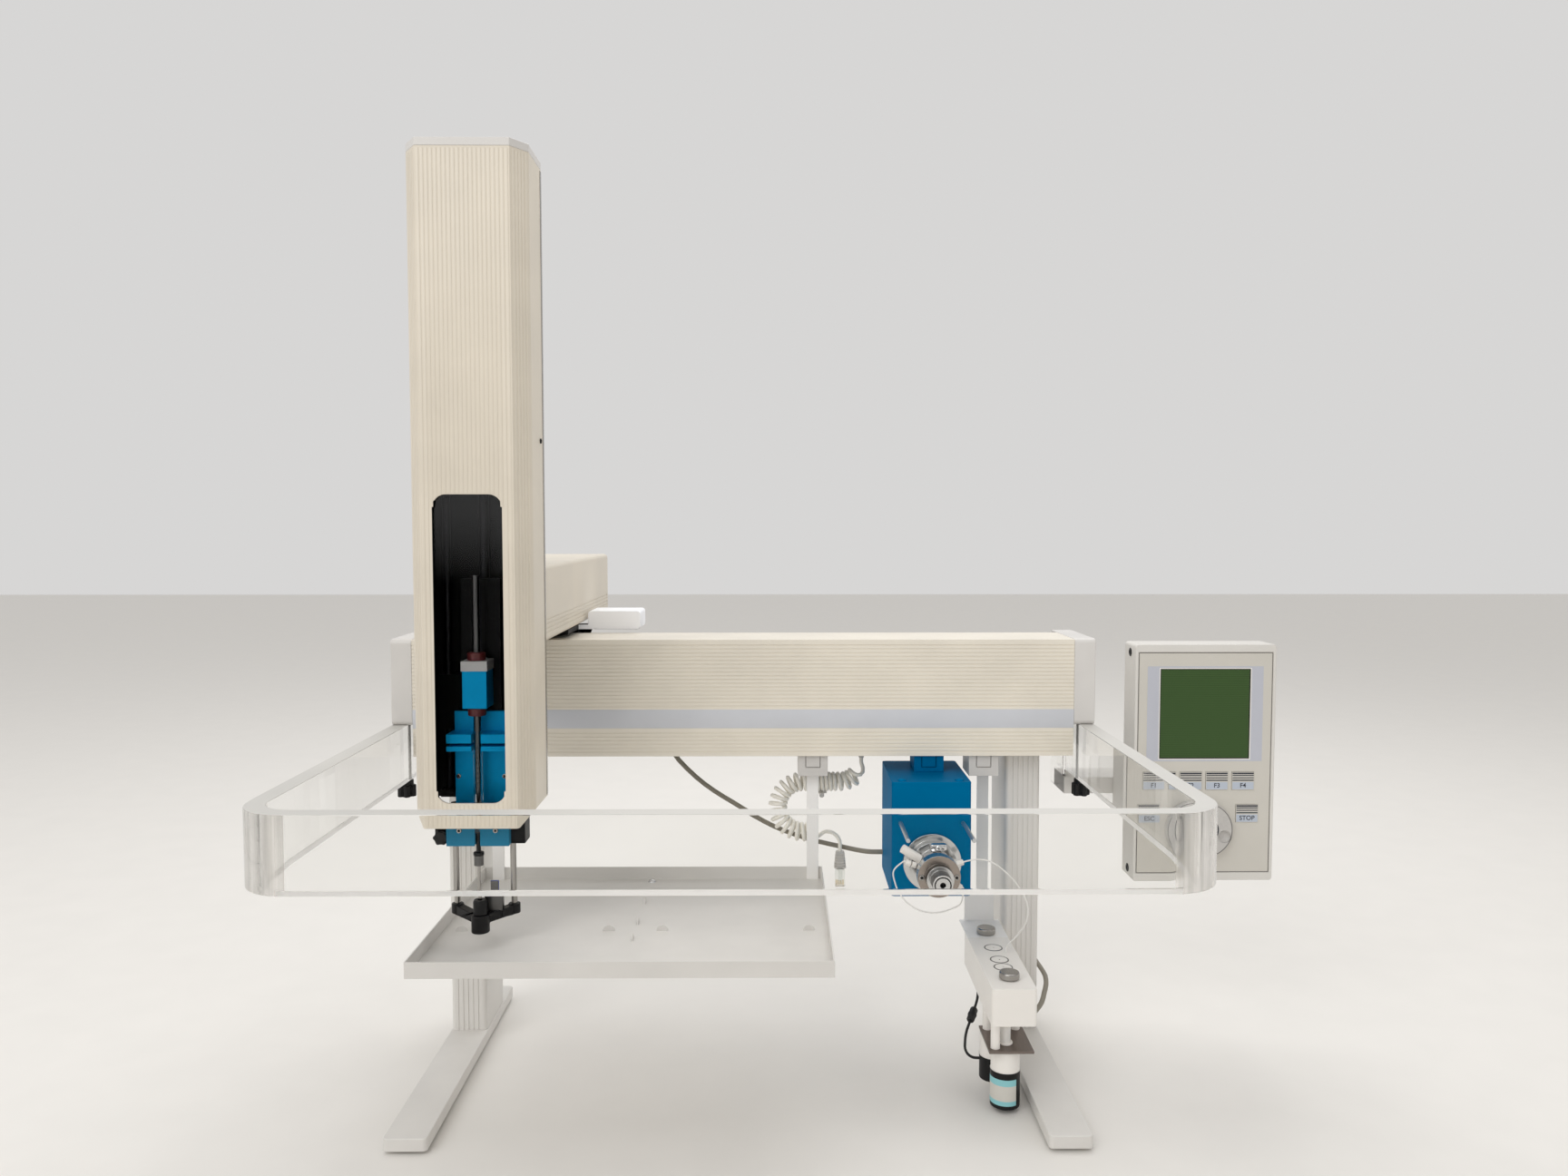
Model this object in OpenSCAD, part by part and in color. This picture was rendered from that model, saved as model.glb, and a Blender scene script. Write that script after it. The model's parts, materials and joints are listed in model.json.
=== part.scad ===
// Bench-top liquid autosampler: a three-axis gantry on two legs that carries a syringe head
// over a sample tray, an injection valve and a wash station, with a hand keypad beside it.
// Sizes are in millimetres. The model stands on Z = 0, with +X to the right and +Y to the back.

/* [Stand] */
// Distance between the middles of the two legs
leg_spacing = 670; // [640:1:690]
// Length of each foot bar
foot_l = 384; // [340:1:440]
// Width of each foot bar
foot_w = 45; // [43:1:60]
// Thickness of each foot bar
foot_t = 14; // [10:1:24]
// How far each foot reaches in front of the beam
foot_reach = 222; // [180:1:240]
// Width of each leg column
column_w = 42; // [34:1:43]
// Depth of each leg column
column_d = 89; // [70:1:92]
// Wall of each hollow leg column
column_wall = 4; // [2:0.5:8]
// Radius of each rubber pad
pad_r = 9; // [6:0.5:14]
// Height of each rubber pad
pad_t = 3; // [2:0.5:8]
// Height of the rail's underside above the bench
rail_z = 362; // [355:1:400]

/* [Beam] */
// Length of the beam over its end caps
beam_l = 828; // [820:1:860]
// How much wider each end cap is than the guard's arm
cap_lap = 7; // [6:0.5:12]
// Height of each end cap
cap_h = 102; // [90:1:102]
// Depth of the rail
rail_d = 104; // [100:1:120]
// Thickness of the rail's floor
rail_floor = 16; // [14:1:24]
// Thickness of the rail's back wall
rail_wall = 6; // [4:0.5:8]
// How far the cover stands in front of the rail
cover_gap = 14; // [8:1:18]
// Height of the ribbed cover
cover_h = 138; // [134:1:150]
// Depth of the cover's top
cover_d = 88; // [80:1:90]
// Wall of the cover
cover_wall = 3; // [2:0.5:4]
// Pitch of the cover's grooves
groove_pitch = 4.5; // [4:0.1:6]
// Width of each groove
groove_w = 1.6; // [0.8:0.1:2.4]
// Depth of each groove
groove_depth = 0.8; // [0.4:0.1:1.2]
// Height of the plain band on the cover
band_h = 23; // [16:1:30]
// Width of the accessory slot under the rail
slot_w = 12; // [8:1:16]

/* [Gantry] */
// Radius of each of the beam's guide rods
x_rod_r = 5; // [4:0.5:6]
// Height between the beam's two guide rods
x_rod_pitch = 35; // [30:1:40]
// Width of the carriage along the beam
carriage_w = 100; // [80:1:108]
// Place of the carriage along the beam, from the beam's middle
carriage_x = -259; // [-300:1:240]
// Thickness of the carriage's top plate
carriage_plate = 6; // [4:1:8]
// How much narrower the arm is than the tower on each side
arm_inset = 1; // [0:0.5:8]
// Height of the arm
arm_h = 80; // [60:1:100]
// Wall of the arm
arm_wall = 4; // [3:0.5:6]
// Length of the arm behind the tower
arm_l = 449; // [420:1:500]
// Clearance of the sliding fits
slide_gap = 0.3; // [0.2:0.05:0.5]
// Radial clearance of the turning and linear bearings
bearing_gap = 0.05; // [0.02:0.01:0.1]

/* [Tower] */
// Width of the tower
tower_w = 118; // [116:1:130]
// Depth of the tower
tower_d = 78; // [76:1:90]
// Height of the tower from its chin to the top of its cap
tower_h = 660; // [640:1:720]
// Height of the tower's chin above the bench
chin_z = 336; // [332:1:345]
// How far the tower's front stands in front of the beam
tower_reach = 236; // [225:1:240]
// Width of each front chamfer
chamfer_w = 14; // [8:1:16]
// Depth of each front chamfer
chamfer_d = 20.5; // [12:0.5:24]
// Rise of the tower's lower edge from the chin to its sides
chin_rise = 14; // [8:1:20]
// Wall of the tower's cover
tower_wall = 3; // [2:0.5:4]
// Thickness of the tower's cap
tower_cap_t = 8; // [5:1:14]
// Width of the window
window_w = 67; // [60:1:70]
// Height of the window
window_h = 300; // [260:1:320]
// Corner radius of the window
window_r = 13; // [6:1:20]
// Height of the window's lower edge above the chin
window_lift = 24; // [16:1:30]
// Radius of each of the tower's guide rods
z_rod_r = 4; // [3:0.5:5]
// Radius of the lifting screw
z_screw_r = 5; // [4:0.5:6]

/* [Syringe head] */
// Width of the head block
head_w = 90; // [84:1:96]
// Height of the head block
head_h = 33; // [28:1:40]
// How far the head block reaches below the chin
head_drop = 24; // [20:1:30]
// Depth of the needle's axis behind the tower's front
needle_depth = 28; // [26:0.5:30]
// Outer radius of the syringe's glass barrel
barrel_r = 4.6; // [4:0.1:5.4]
// Bore radius of the syringe's barrel
barrel_bore_r = 2.3; // [1.5:0.1:3]
// Length of the syringe's barrel
barrel_l = 100; // [90:1:110]
// Radius of the needle
needle_r = 0.6; // [0.4:0.1:0.9]
// Width of the plunger's block
plunger_w = 24; // [20:1:30]
// Height of the plunger's block
plunger_h = 47; // [40:1:55]
// Radius of the plunger's knob
plunger_knob_r = 9; // [7:0.5:12]
// Length of the drive rod above the plunger's knob
drive_rod_l = 76; // [50:1:90]
// Distance between the needle guide's two rods
guide_pitch = 58; // [52:1:62]
// Radius of each of the needle guide's rods
guide_rod_r = 3.1; // [2.5:0.1:3.6]
// Radius of the needle guide's nose
nose_r = 9; // [6:0.5:11]
// Height of the needle guide's nose
nose_h = 18; // [16:1:22]
// How far the nose's lower end lies below the head block
nose_drop = 89; // [84:1:90]

/* [Guard] */
// How far each of the guard's arms stands out past the beam's end
guard_proud = 0.5; // [0:0.5:2]
// Height of the clear guard
guard_h = 68; // [50:1:80]
// Thickness of the clear guard
guard_t = 18; // [14:1:20]
// How far the guard's front stands in front of the beam
guard_reach = 416; // [400:1:450]
// Length of each of the guard's arms behind the beam's front
guard_tail = 99; // [80:1:110]
// Outer corner radius of the guard
guard_r = 48; // [30:1:60]
// Radius of each of the guard's knobs
knob_r = 11; // [9:0.5:14]
// Height of each of the guard's knobs
knob_h = 20; // [14:1:24]
// Radius of the stud in each of the guard's knobs
stud_r = 4; // [3:0.5:5]

/* [Tray] */
// Width of the tray
tray_w = 406; // [380:1:410]
// Depth of the tray
tray_d = 305; // [280:1:320]
// Height of the tray's rim
tray_rim = 16; // [10:1:20]
// Thickness of the tray's sheet
tray_t = 1.5; // [1:0.25:3]
// Height of the tray's underside above the bench
tray_z = 204; // [195:1:206]
// Place of the tray's middle along the beam
tray_x = -110; // [-112:1:-90]
// Radius of each half-round lug
lug_r = 6; // [4:0.5:8]
// Width of each strip that the tray hangs on
strip_w = 14; // [10:1:18]
// Thickness of each strip that the tray hangs on
strip_t = 3; // [2:0.5:4]
// Width of each clamp under the rail
clamp_w = 35; // [30:1:36]
// Height of each clamp under the rail
clamp_h = 25; // [20:1:28]

/* [Injection valve] */
// Width of the valve's drive housing
valve_w = 91; // [84:1:96]
// Height of the valve's drive housing
valve_h = 132; // [120:1:140]
// Depth of the valve's drive housing
valve_d = 120; // [110:1:124]
// How far the housing stands in front of the beam
valve_reach = 50; // [40:1:56]
// Place of the valve's axis along the beam
valve_x = 215; // [205:1:216]
// Height of the valve's axis above the housing's underside
valve_axis = 42; // [38:1:60]
// Radius of the mounting flange
flange_r = 33; // [29:1:38]
// Radius of the stator
stator_r = 23.5; // [22:0.5:26]
// Length of the stator
stator_l = 54; // [48:1:60]
// Radius of the needle port
port_r = 11; // [8:0.5:14]
// Length of the needle port
port_l = 28; // [20:1:32]
// Radius of the needle port's bore
port_bore_r = 3; // [1.5:0.5:4]
// Radius of the rotor's shaft
rotor_shaft_r = 8; // [6:0.5:10]

/* [Wash station] */
// Width of the wash block
wash_w = 48; // [44:1:50]
// Length of the wash block
wash_l = 179; // [160:1:190]
// Height of the wash block
wash_h = 40; // [34:1:46]
// Height of the wash block's top above the bench
wash_top = 144; // [138:1:150]
// Place of the wash block's middle along the beam
wash_x = 288; // [286:1:288]
// Radius of each pump
pump_r = 15.5; // [12:0.5:17]
// Height of each pump
pump_h = 64; // [50:1:66]
// Drop of the pumps' plate below the wash block
pump_drop = 32; // [28:1:34]
// Thickness of the pumps' plate
pump_plate = 3; // [2:0.5:5]

/* [Keypad] */
// Width of the keypad
keypad_w = 167; // [160:1:180]
// Height of the keypad
keypad_h = 282; // [270:1:300]
// Depth of the keypad
keypad_d = 42; // [34:1:50]
// Wall of the keypad's shell
keypad_wall = 4; // [3:0.5:6]
// Place of the keypad's middle along the beam
keypad_x = 544.5; // [530:0.5:570]
// Height of the keypad's lower edge above the bench
keypad_z = 208; // [190:1:230]
// Width and height of the screen
screen_w = 107; // [90:1:115]
// Width of each key
key_w = 26; // [20:1:28]
// Height of each key
key_h = 21; // [16:1:24]
// Pitch of the function keys
key_pitch = 31; // [30:0.5:34]
// Radius of the jog wheel
jog_r = 33; // [28:1:36]
// Radius of the button in the jog wheel
enter_r = 13.3; // [10:0.1:16]
// Travel of each key
key_travel = 0.8; // [0.4:0.1:1.2]

/* [Curly cord] */
// Diameter of the curly cord
curl_d = 4.8; // [3.6:0.1:5]
// Radius of the curls at the middle of the cord
curl_r = 9.5; // [8:0.1:10]
// Pitch of the curls
curl_pitch = 8.5; // [8:0.1:9]

/* [Hidden] */
$fn = 64;
// How far each cut runs past the surface it opens
cut = 1;

// Paint and material colours
beige = [0.86, 0.81, 0.73];
light_grey = [0.81, 0.82, 0.82];
dark_grey = [0.45, 0.45, 0.46];
steel = [0.72, 0.73, 0.75];
black = [0.07, 0.07, 0.07];
blue = [0.02, 0.45, 0.65];
maroon = [0.43, 0.2, 0.2];
ivory = [0.9, 0.89, 0.86];

// Beam, seen from its left end: Y = 0 is the cover's front
cover_lip = 4;
cover_lip_d = 10;
cover_z = rail_z - cover_lip;
cover_top = cover_z + cover_h;
cap_w = guard_t + cap_lap;
leg_gap = 1;
beam_span = max(beam_l, leg_spacing + column_w + 2 * (leg_gap + cap_w));
cover_half = beam_span / 2 - cap_w;
rail_y0 = cover_gap;
rail_y1 = rail_y0 + rail_d;
rail_in = rail_y1 - rail_wall;
rail_top_gap = 6;
rail_top = cover_top - rail_top_gap;
rail_in_z = rail_z + rail_floor;
end_plate_t = 4;
rail_half = cover_half - end_plate_t;
band_lift = 33;
band_z = cover_z + band_lift;
slot_inset = 22;
slot_y = rail_y0 + slot_inset;
slot_depth = 6;
cap_proud = 1;
cap_z = cover_top + cap_proud - cap_h;
cap_edge_r = 6;

// Legs
foot_y0 = -foot_reach;
foot_y1 = foot_y0 + foot_l;
foot_z1 = pad_t + foot_t;
foot_corner_r = 5;
column_shift = 4.5;
column_y = rail_y0 + rail_d / 2 + column_shift;
pad_inset = 25;
rib_w = 1.5;
rib_pitch = 6;
ribs_each_side = 2;

// Carriage inside the beam
x_rod_inset = 31;
x_rod_lift = 52;
x_rod_y = rail_y0 + x_rod_inset;
x_rod_z = rail_in_z + x_rod_lift;
bearing_wall = 13;
bearing_side = 10;
bearing_half = x_rod_r + bearing_side;
carriage_z0 = x_rod_z - x_rod_r - bearing_wall;
carriage_z1 = x_rod_z + x_rod_pitch + x_rod_r + bearing_wall;
bridge_t = 26;
bridge_z = carriage_z1 - bridge_t;
neck_gap = 4;
neck_y0 = cover_d + neck_gap;
neck_back_gap = 2;
neck_y1 = rail_in - neck_back_gap;
plate_z = cover_top + neck_gap;
plate_top = plate_z + carriage_plate;
shoe_y0 = 20;
shoe_h = 17;
shoe_neck_w = 44;

// Box beside the arm on the carriage, which holds the arm's drive
side_box_w = 65;
side_box_h = 23;
side_box_d = 58;
side_box_r = 4;
side_box_gap = 4;

// Belt drive inside the beam
belt_w = 9;
belt_t = 2;
belt_gap = 8;
belt_y = x_rod_y + bearing_half + belt_gap;
pulley_r = 11;
belt_drop = 16;
belt_z = bridge_z - belt_drop - pulley_r;
motor_w = 42;
motor_edge_r = 4;
idler_w = 12;
idler_t = 5;
pulley_lip = 1;
motor_gap = 2;
motor_y0 = belt_y + belt_w + pulley_lip;
motor_l = neck_y1 - motor_y0 - pulley_lip;
pulley_x1 = rail_half - motor_w / 2 - motor_gap;
pulley_x0 = -rail_half + pulley_r + belt_t + motor_gap;
grip_w = 30;

// Arm
arm_w = tower_w - 2 * arm_inset;
arm_lift = 3;
arm_z = plate_top + arm_lift;
arm_in_z = arm_z + arm_wall;
arm_y0 = -tower_reach + tower_d;
arm_y1 = arm_y0 + arm_l;
arm_end_t = 4;
arm_edge_r = 5;
arm_grooves = 4;

// Tower: its own y runs back from its front face
tower_y = -tower_reach;
cheek_z = chin_z + chin_rise;
tower_top = chin_z + tower_h;
cover_end_z = tower_top - tower_cap_t;
tower_face_w = tower_w - 2 * chamfer_w;
frame_t = 4;
frame_y = tower_d - frame_t;
window_z = chin_z + window_lift;
pane_t = 2;
pane_lap = 5;
ear_t = 8;
ear_lift = 3;
ear_drop = 60;
ear_lap = 8;
ear_wall = 2.5;
ear_z0 = cheek_z + ear_lift;
ear_z1 = cover_end_z - ear_drop;
z_axis_gap = 10;
z_axis_y = frame_y - z_axis_gap;
z_rod_x = 38;
ear_y0 = z_axis_y - z_rod_r - ear_wall;
z_motor_l = 40;
z_motor_shift = 11;
screw_bite = 12;
screw_socket = 16;
screw_lift = 1;

// Syringe head
head_z = chin_z - head_drop;
head_top = head_z + head_h;
head_back = 6;
head_gap = 0.7;
head_y0 = needle_depth + head_back;
head_y1 = ear_y0 - head_gap;
guide_wall = 2.6;
guide_y = head_y1 - guide_rod_r - guide_wall;
web_w = 40;
web_back = 18;
web_h = 232;
web_y0 = needle_depth + web_back;
web_top = head_top + web_h;
saddle_lift = 78;
saddle_h = 56;
saddle_wall = 5;
saddle_z0 = head_top + saddle_lift;
saddle_z1 = saddle_z0 + saddle_h;
saddle_w = 2 * (z_rod_x + z_rod_r + saddle_wall);
saddle_y0 = ear_y0 + 0.5;
saddle_y1 = frame_y - 1;
holder_w = 53;
holder_t = 4;
holder_h = 99;
holder_y = web_y0 - holder_t;
holder_bar_w = 59;
holder_bar_reach = 7;
barrel_lift = 13;
barrel_floor = 6;
barrel_z = head_z + barrel_lift;
barrel_top = barrel_z + barrel_l;
holder_bars = [[barrel_top - 18, 5], [barrel_top - 10, 9]];
lip_w = 62;
lip_d = 4;
lip_slot_w = 4;
key_slot_w = 12;
key_slot_d = 5;
plunger_lift = 25;
plunger_z = barrel_top + plunger_lift;
plunger_reach = 10;
plunger_lip = 1;
plunger_top = plunger_z + plunger_h;
plunger_cap_h = 10;
plunger_knob_h = 8;
drive_rod_r = 3.5;
thumb_r = 3.6;
thumb_gap = 1;
tip_lift = 12;
needle_drop = 80;
sleeve_r = 1.6;
sleeve_l = 34;
guide_bore_r = 2.2;
needle_z = head_z - needle_drop;
hub_r = 4.7;
hub_drop = 20;
hub_z = head_z - hub_drop;
hub_h = 13;
nose_z = head_z - nose_drop;
boss_r = 6;
boss_lift = 12;
boss_z = nose_z + boss_lift;
boss_h = 10;
arm_bar_w = 9;
arm_bar_h = 9;
arm_fall = 4;
latch_low = [2, needle_depth + 9, boss_z + boss_h - arm_fall];
latch_size = [18, 8, 20];
lever_shift = [7, 0, latch_size[2]];
lever_size = [8, 3, 12];
collar_h = 4;
collar_r = guide_rod_r + 2;

// Guard
guard_w = beam_span + 2 * guard_proud;
guard_z1 = cap_z;
guard_z0 = guard_z1 - guard_h;
knob_x = guard_w / 2 - knob_r;
knob_y = 20;
knob_lobes = 5;
lobe_r = 4;
lobe_h = 14;
knob_core_r = knob_r - 3;
stud_bite = 13;

// Tray and clamps
tray_back = 10;
tray_y1 = rail_y0 + tray_back;
tray_y0 = tray_y1 - tray_d;
tray_x0 = tray_x - tray_w / 2;
tray_x1 = tray_x + tray_w / 2;
tray_floor = tray_z + tray_t;
tray_rim_z = tray_z + tray_rim;
strip_inset = 3;
left_strip_inset = 18;
strip_xs = [tray_x0 + left_strip_inset, tray_x1 - tray_t - strip_inset - strip_w / 2];
strip_y1 = tray_y1 - tray_t;
clamp_y0 = 5;
clamp_y1 = slot_y + slot_w;
clamp_z = cover_z - clamp_h;
latch_w = 17;
latch_line = 1;
latch_h = 14;
latch_depth = 2;
rack_pitch = 56;
rack_lug_x = 182;
lug_rows = [strip_y1 - 180, strip_y1 - 57];
divider_rows = [strip_y1 - 206, strip_y1 - 157, strip_y1 - 90];

// Injection valve: its axis runs along Y
valve_clamp_h = 20;
valve_clamp_x = valve_x + 4;
valve_top = cover_z - valve_clamp_h;
valve_z0 = valve_top - valve_h;
valve_z = valve_z0 + valve_axis;
valve_y0 = -valve_reach;
valve_y1 = valve_y0 + valve_d;
valve_wall = 4;
valve_edge_r = 4;
valve_back_t = 3;
flange_t = 8;
stator_y1 = valve_y0 - flange_t;
stator_y0 = stator_y1 - stator_l;
stator_ring_l = 12;
stator_ring_r = stator_r + 3;
stator_neck_r = 19;
stator_disc_l = 14;
port_y0 = stator_y0 - port_l;
port_collar_r = 15;
port_collar_l = 10;
guide_pin_r = 2.3;
guide_pin_l = 75;
guide_pin_side = valve_w / 2 - 10;
guide_pin_rise = 44;
rotor_r = 15;
rotor_l = 14;
rotor_gap = 0.5;
rotor_tail = 20;
rotor_lever = [rotor_shaft_r + 8, 10, 12];
rotor_lever_gap = 8;
stem_r = 2;
stem_l = 4;

// Tube fittings: angle, distance from the flange, radius, length and bare stem
fittings = [[16, 26, 3.3, 8, 5], [148, 21, 5, 24, 0.6], [163, 32, 3.3, 12, 4.5], [325, 26, 3.3, 8, 8]];

// Wash station
wash_y0 = -165;
wash_y1 = wash_y0 + wash_l;
wash_z0 = wash_top - wash_h;
wash_ledge = 26;
wash_edge_r = 4;
bracket_t = 2;
bracket_y1 = clamp_y1 + bracket_t;
bracket_w = 36;
bracket_rise = 40;
wash_strip_x = 3;
wash_clamp_left = 4;
wash_clamp_x = wash_x - wash_clamp_left;
well_rows = [wash_y0 + 62, wash_y0 + 84, wash_y0 + 120];
well_r = 10.5;
well_ring_depth = 1;
well_bore_r = 3;
well_floor = 5;
nut_rows = [wash_y1 - wash_ledge / 2, wash_y0 + 30];
nut_r = 11;
nut_h = 8;
nut_hole_r = 3;
plate_z1 = wash_z0 - pump_drop;
plate_y0 = wash_y0 + 12;
plate_y1 = plate_y0 + 64;
pump_rows = [plate_y0 + 20, plate_y0 + 53];
pump_x = wash_x - 3;
pump_head_h = 24;
pump_clear = 3;
pump_l = min(pump_h, plate_z1 - pump_plate - pump_clear);
pump_lip = 0.5;
rear_pump_shift = 6;
rear_pump_less = 14;
post_r = 5;
post_spots = [[-16, plate_y0 + 9], [15, plate_y1 - 8], [-16, plate_y1 - 8]];
tube_r = 5.5;

// Keypad: its own x and z run from its middle, its y from its front
keypad_mid_z = keypad_z + keypad_h / 2;
keypad_y = 0;
keypad_corner_r = 4;
panel_inset_x = 4;
panel_inset_z = 9.5;
panel_gap = 0.2;
panel_y = 1;
panel_t = 3;
panel_w = keypad_w - 2 * panel_inset_x;
panel_h = keypad_h - 2 * panel_inset_z;
panel_back = panel_y + panel_t;
panel_ledge = 3;
screen_z = panel_h / 2 - 73;
screen_sink = 0.5;
screen_back_t = 3;
screen_lap = 3;
function_z = screen_z - 80;
stop_z = function_z - 39;
stop_x = 52;
jog_z = function_z - 57;
jog_floor = 1.5;
dimple_r = 8;
dimple_at = [jog_r - 10, -11, -8];
jog_y0 = -8;
jog_y1 = panel_y - slide_gap;
jog_shaft_r = 5;
jog_shaft_l = 9;
enter_stem_r = 2;
enter_y0 = jog_y0 - 1;
enter_travel = 1.2;
key_proud = key_travel + 0.4;
key_y0 = panel_y - key_proud;
key_flange = 1.2;
arm_plate_t = 4;
holder_plate_w = 110;
holder_plate_h = 120;
arm_plate_x = cover_half;
arm_plate_y0 = rail_y0 + 34;
arm_plate_y1 = rail_y1 - 8;
bracket_drop = 24;
bracket_z = guard_z0 - bracket_drop;
bracket_h = 20;
bracket_y0 = keypad_y + keypad_d;
bracket_d = 54;

// Curly cord: its middle line runs in an upright plane behind the beam's front
cord_y = 62;
cord_plug_x = 143;
cord_drop = 22;
cord_start_z = rail_z - cord_drop;
cord_turn_r = 26;
cord_run_1 = 46;
cord_bend_r = 31;
cord_run_2 = 30;
cord_tail_r = 16;
cord_tail = 8;
tail_turn_step = 15;
rings_per_curl = 8;
cord_sides = 6;
plug_l = 44;
plug_w = 12;
plug_t = 9;
boot_l = 22;
cord_arc_1 = cord_turn_r * PI / 2;
cord_arc_2 = cord_bend_r * PI;
cord_len = cord_arc_1 + cord_run_1 + cord_arc_2 + cord_run_2;
curl_count = floor(cord_len / curl_pitch);
curl_step = cord_len / (curl_count * rings_per_curl);
peg_x = cord_plug_x - cord_turn_r - cord_run_1 / 2;
peg_r = 3;
peg_z = cord_start_z - cord_turn_r - curl_r - curl_d / 2 - slide_gap - peg_r;
hook_w = 14;
hook_gap = 2;
hook_y = cord_y + curl_r + curl_d / 2 + hook_gap;

// Routes of the other leads, in the beam's frame
cable_d = 6;
cable_sides = 10;
valve_cable_route = [
    [-92, 86, 362], [-92, 86, 350], [-84, 86, 336], [-62, 86, 314], [-40, 86, 297], [-16, 86, 282],
    [10, 86, 266], [36, 86, 252], [62, 85, 242], [90, 83, 234], [118, 78, 229], [138, 69, 227],
    [150, 62, 227], [159, 60, 227], [169.5, 60, 227]
];
wash_cable_route = [
    [336, 118, 372], [336.5, 139.2, 370.4], [337.7, 157, 359], [339.2, 165.9, 339.9],
    [340.6, 165.4, 318.6], [342.1, 163.9, 297.3], [343.5, 162.5, 276], [344.9, 161.1, 254.7],
    [346.4, 159.6, 233.4], [347.8, 158.2, 212.1], [349.3, 156.7, 190.8], [351.7, 155, 169.6],
    [355.1, 153, 148.6], [358.6, 151, 127.6], [362, 148, 106.7], [365.6, 137.6, 88.6],
    [368.5, 120.2, 76.7], [370.4, 99.3, 73.1], [372, 78, 71.8], [372.7, 56.7, 70.3],
    [369, 35.8, 68], [362, 15.8, 65.1], [354.5, -4.1, 62.4], [343.7, -22.4, 60.6],
    [330.2, -39, 59.6], [316.4, -55.4, 58.7], [302.7, -71.7, 57.9], [288.9, -88.1, 57]
];
wash_tube_route = [
    [245.8, -84, 256.8], [251, -84, 258.3], [262, -84, 259.7], [275, -84, 257.6], [290, -85, 248],
    [306, -84, 231], [318, -81, 209], [319, -76, 186], [310, -68, 166], [302, -62, 155], [300, -60, 149],
    [300, -60, 144]
];
lead_d = 3;
lead_sides = 8;
pump_lead_route = [
    [268, -60, 104], [268, -60.1, 97], [266.8, -62.2, 90.5], [264.4, -66.8, 85.9], [261.5, -72.3, 82.6],
    [258.6, -77.8, 79.3], [255.8, -83.3, 76], [252.9, -88.8, 72.7], [250, -94.3, 69.4], [247.8, -98.5, 64.3],
    [247, -100, 57.6], [247.2, -100, 50.6], [250.3, -100, 44.3], [256.1, -100, 40.6], [263.1, -100, 40]
];
loop_d = 1.6;
loop_start = 2;
loop_end = 3;
loop_straight = 3;
loop_swell = 12;
loop_wave = 4;
loop_step = 16;

// The whole stands with the middle of its box over the origin
x_mid = (keypad_x + keypad_w / 2 - guard_w / 2) / 2;
y_mid = (arm_y1 - guard_reach) / 2;

module placed() {
    translate([-x_mid, -y_mid, 0]) children();
}

module at_tower() {
    placed() translate([carriage_x, tower_y, 0]) children();
}

module at_keypad() {
    placed() translate([keypad_x, keypad_y, keypad_mid_z]) children();
}

module at_valve() {
    placed() translate([valve_x, 0, valve_z]) children();
}

// A block between two opposite corners
module block(low, high) {
    translate(low) cube(high - low);
}

// A rectangle with round corners, about its middle
module rounded_rect(w, h, r) {
    square([w - 2 * r, h], center = true);
    square([w, h - 2 * r], center = true);
    for (sx = [-1, 1], sy = [-1, 1]) {
        translate([sx * (w / 2 - r), sy * (h / 2 - r)]) circle(r);
    }
}

// A round bar along X, Y or Z from a start point
module bar_x(start, l, r) {
    translate(start) rotate([0, 90, 0]) cylinder(h = l, r = r);
}

module bar_y(start, l, r) {
    translate(start) rotate([-90, 0, 0]) cylinder(h = l, r = r);
}

module bar_z(start, l, r) {
    translate(start) cylinder(h = l, r = r);
}

// An outline drawn in X and Z, given a thickness along Y
module upright(y0, t) {
    translate([0, y0 + t, 0]) rotate([90, 0, 0]) linear_extrude(t) children();
}

// An outline drawn in Y and Z, given a length along X about the middle
module along_beam(l) {
    rotate([90, 0, 90]) translate([0, 0, -l / 2]) linear_extrude(l) children();
}

// Points of a smooth curve through a route, with k steps between two points
function spline_point(p0, p1, p2, p3, t) =
    0.5 * (2 * p1 + (p2 - p0) * t + (2 * p0 - 5 * p1 + 4 * p2 - p3) * t * t
        + (3 * p1 - p0 - 3 * p2 + p3) * t * t * t);

function smooth_route(p, k) = concat(
    [for (i = [0 : len(p) - 2], j = [0 : k - 1])
        spline_point(p[max(i - 1, 0)], p[i], p[i + 1], p[min(i + 2, len(p) - 1)], j / k)],
    [p[len(p) - 1]]);

function unit(v) = v / norm(v);

function headings(p) = [for (i = [0 : len(p) - 1])
    unit(p[min(i + 1, len(p) - 1)] - p[max(i - 1, 0)])];

function square_to(v, t) = unit(v - (v * t) * t);

// Sideways directions that turn as little as they can along the route
function side_directions(h, first) = [
    for (i = 0, s = square_to(first, h[0]); i < len(h);
        i = i + 1, s = i < len(h) ? square_to(s, h[i]) : s) s];

// A round tube along a list of points, closed at both ends
module tube(p, d, sides, first) {
    h = headings(p);
    s = side_directions(h, first);
    n = len(p);
    rings = [for (i = [0 : n - 1], j = [0 : sides - 1])
        p[i] + d / 2 * (cos(360 * j / sides) * s[i] + sin(360 * j / sides) * cross(h[i], s[i]))];
    walls = [for (i = [0 : n - 2], j = [0 : sides - 1], half = [0, 1])
        let (a = i * sides + j, b = i * sides + (j + 1) % sides)
        half == 0 ? [a, a + sides, b] : [b, a + sides, b + sides]];
    start_cap = [for (j = [1 : sides - 2]) [0, j, j + 1]];
    last = (n - 1) * sides;
    end_cap = [for (j = [1 : sides - 2]) [last, last + j + 1, last + j]];
    polyhedron(points = rings, faces = concat(walls, start_cap, end_cap));
}

// Legs

module feet() {
    color(light_grey) placed() for (side = [-1, 1]) {
        translate([side * leg_spacing / 2, (foot_y0 + foot_y1) / 2, pad_t])
            linear_extrude(foot_t) rounded_rect(foot_w, foot_l, foot_corner_r);
    }
}

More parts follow.
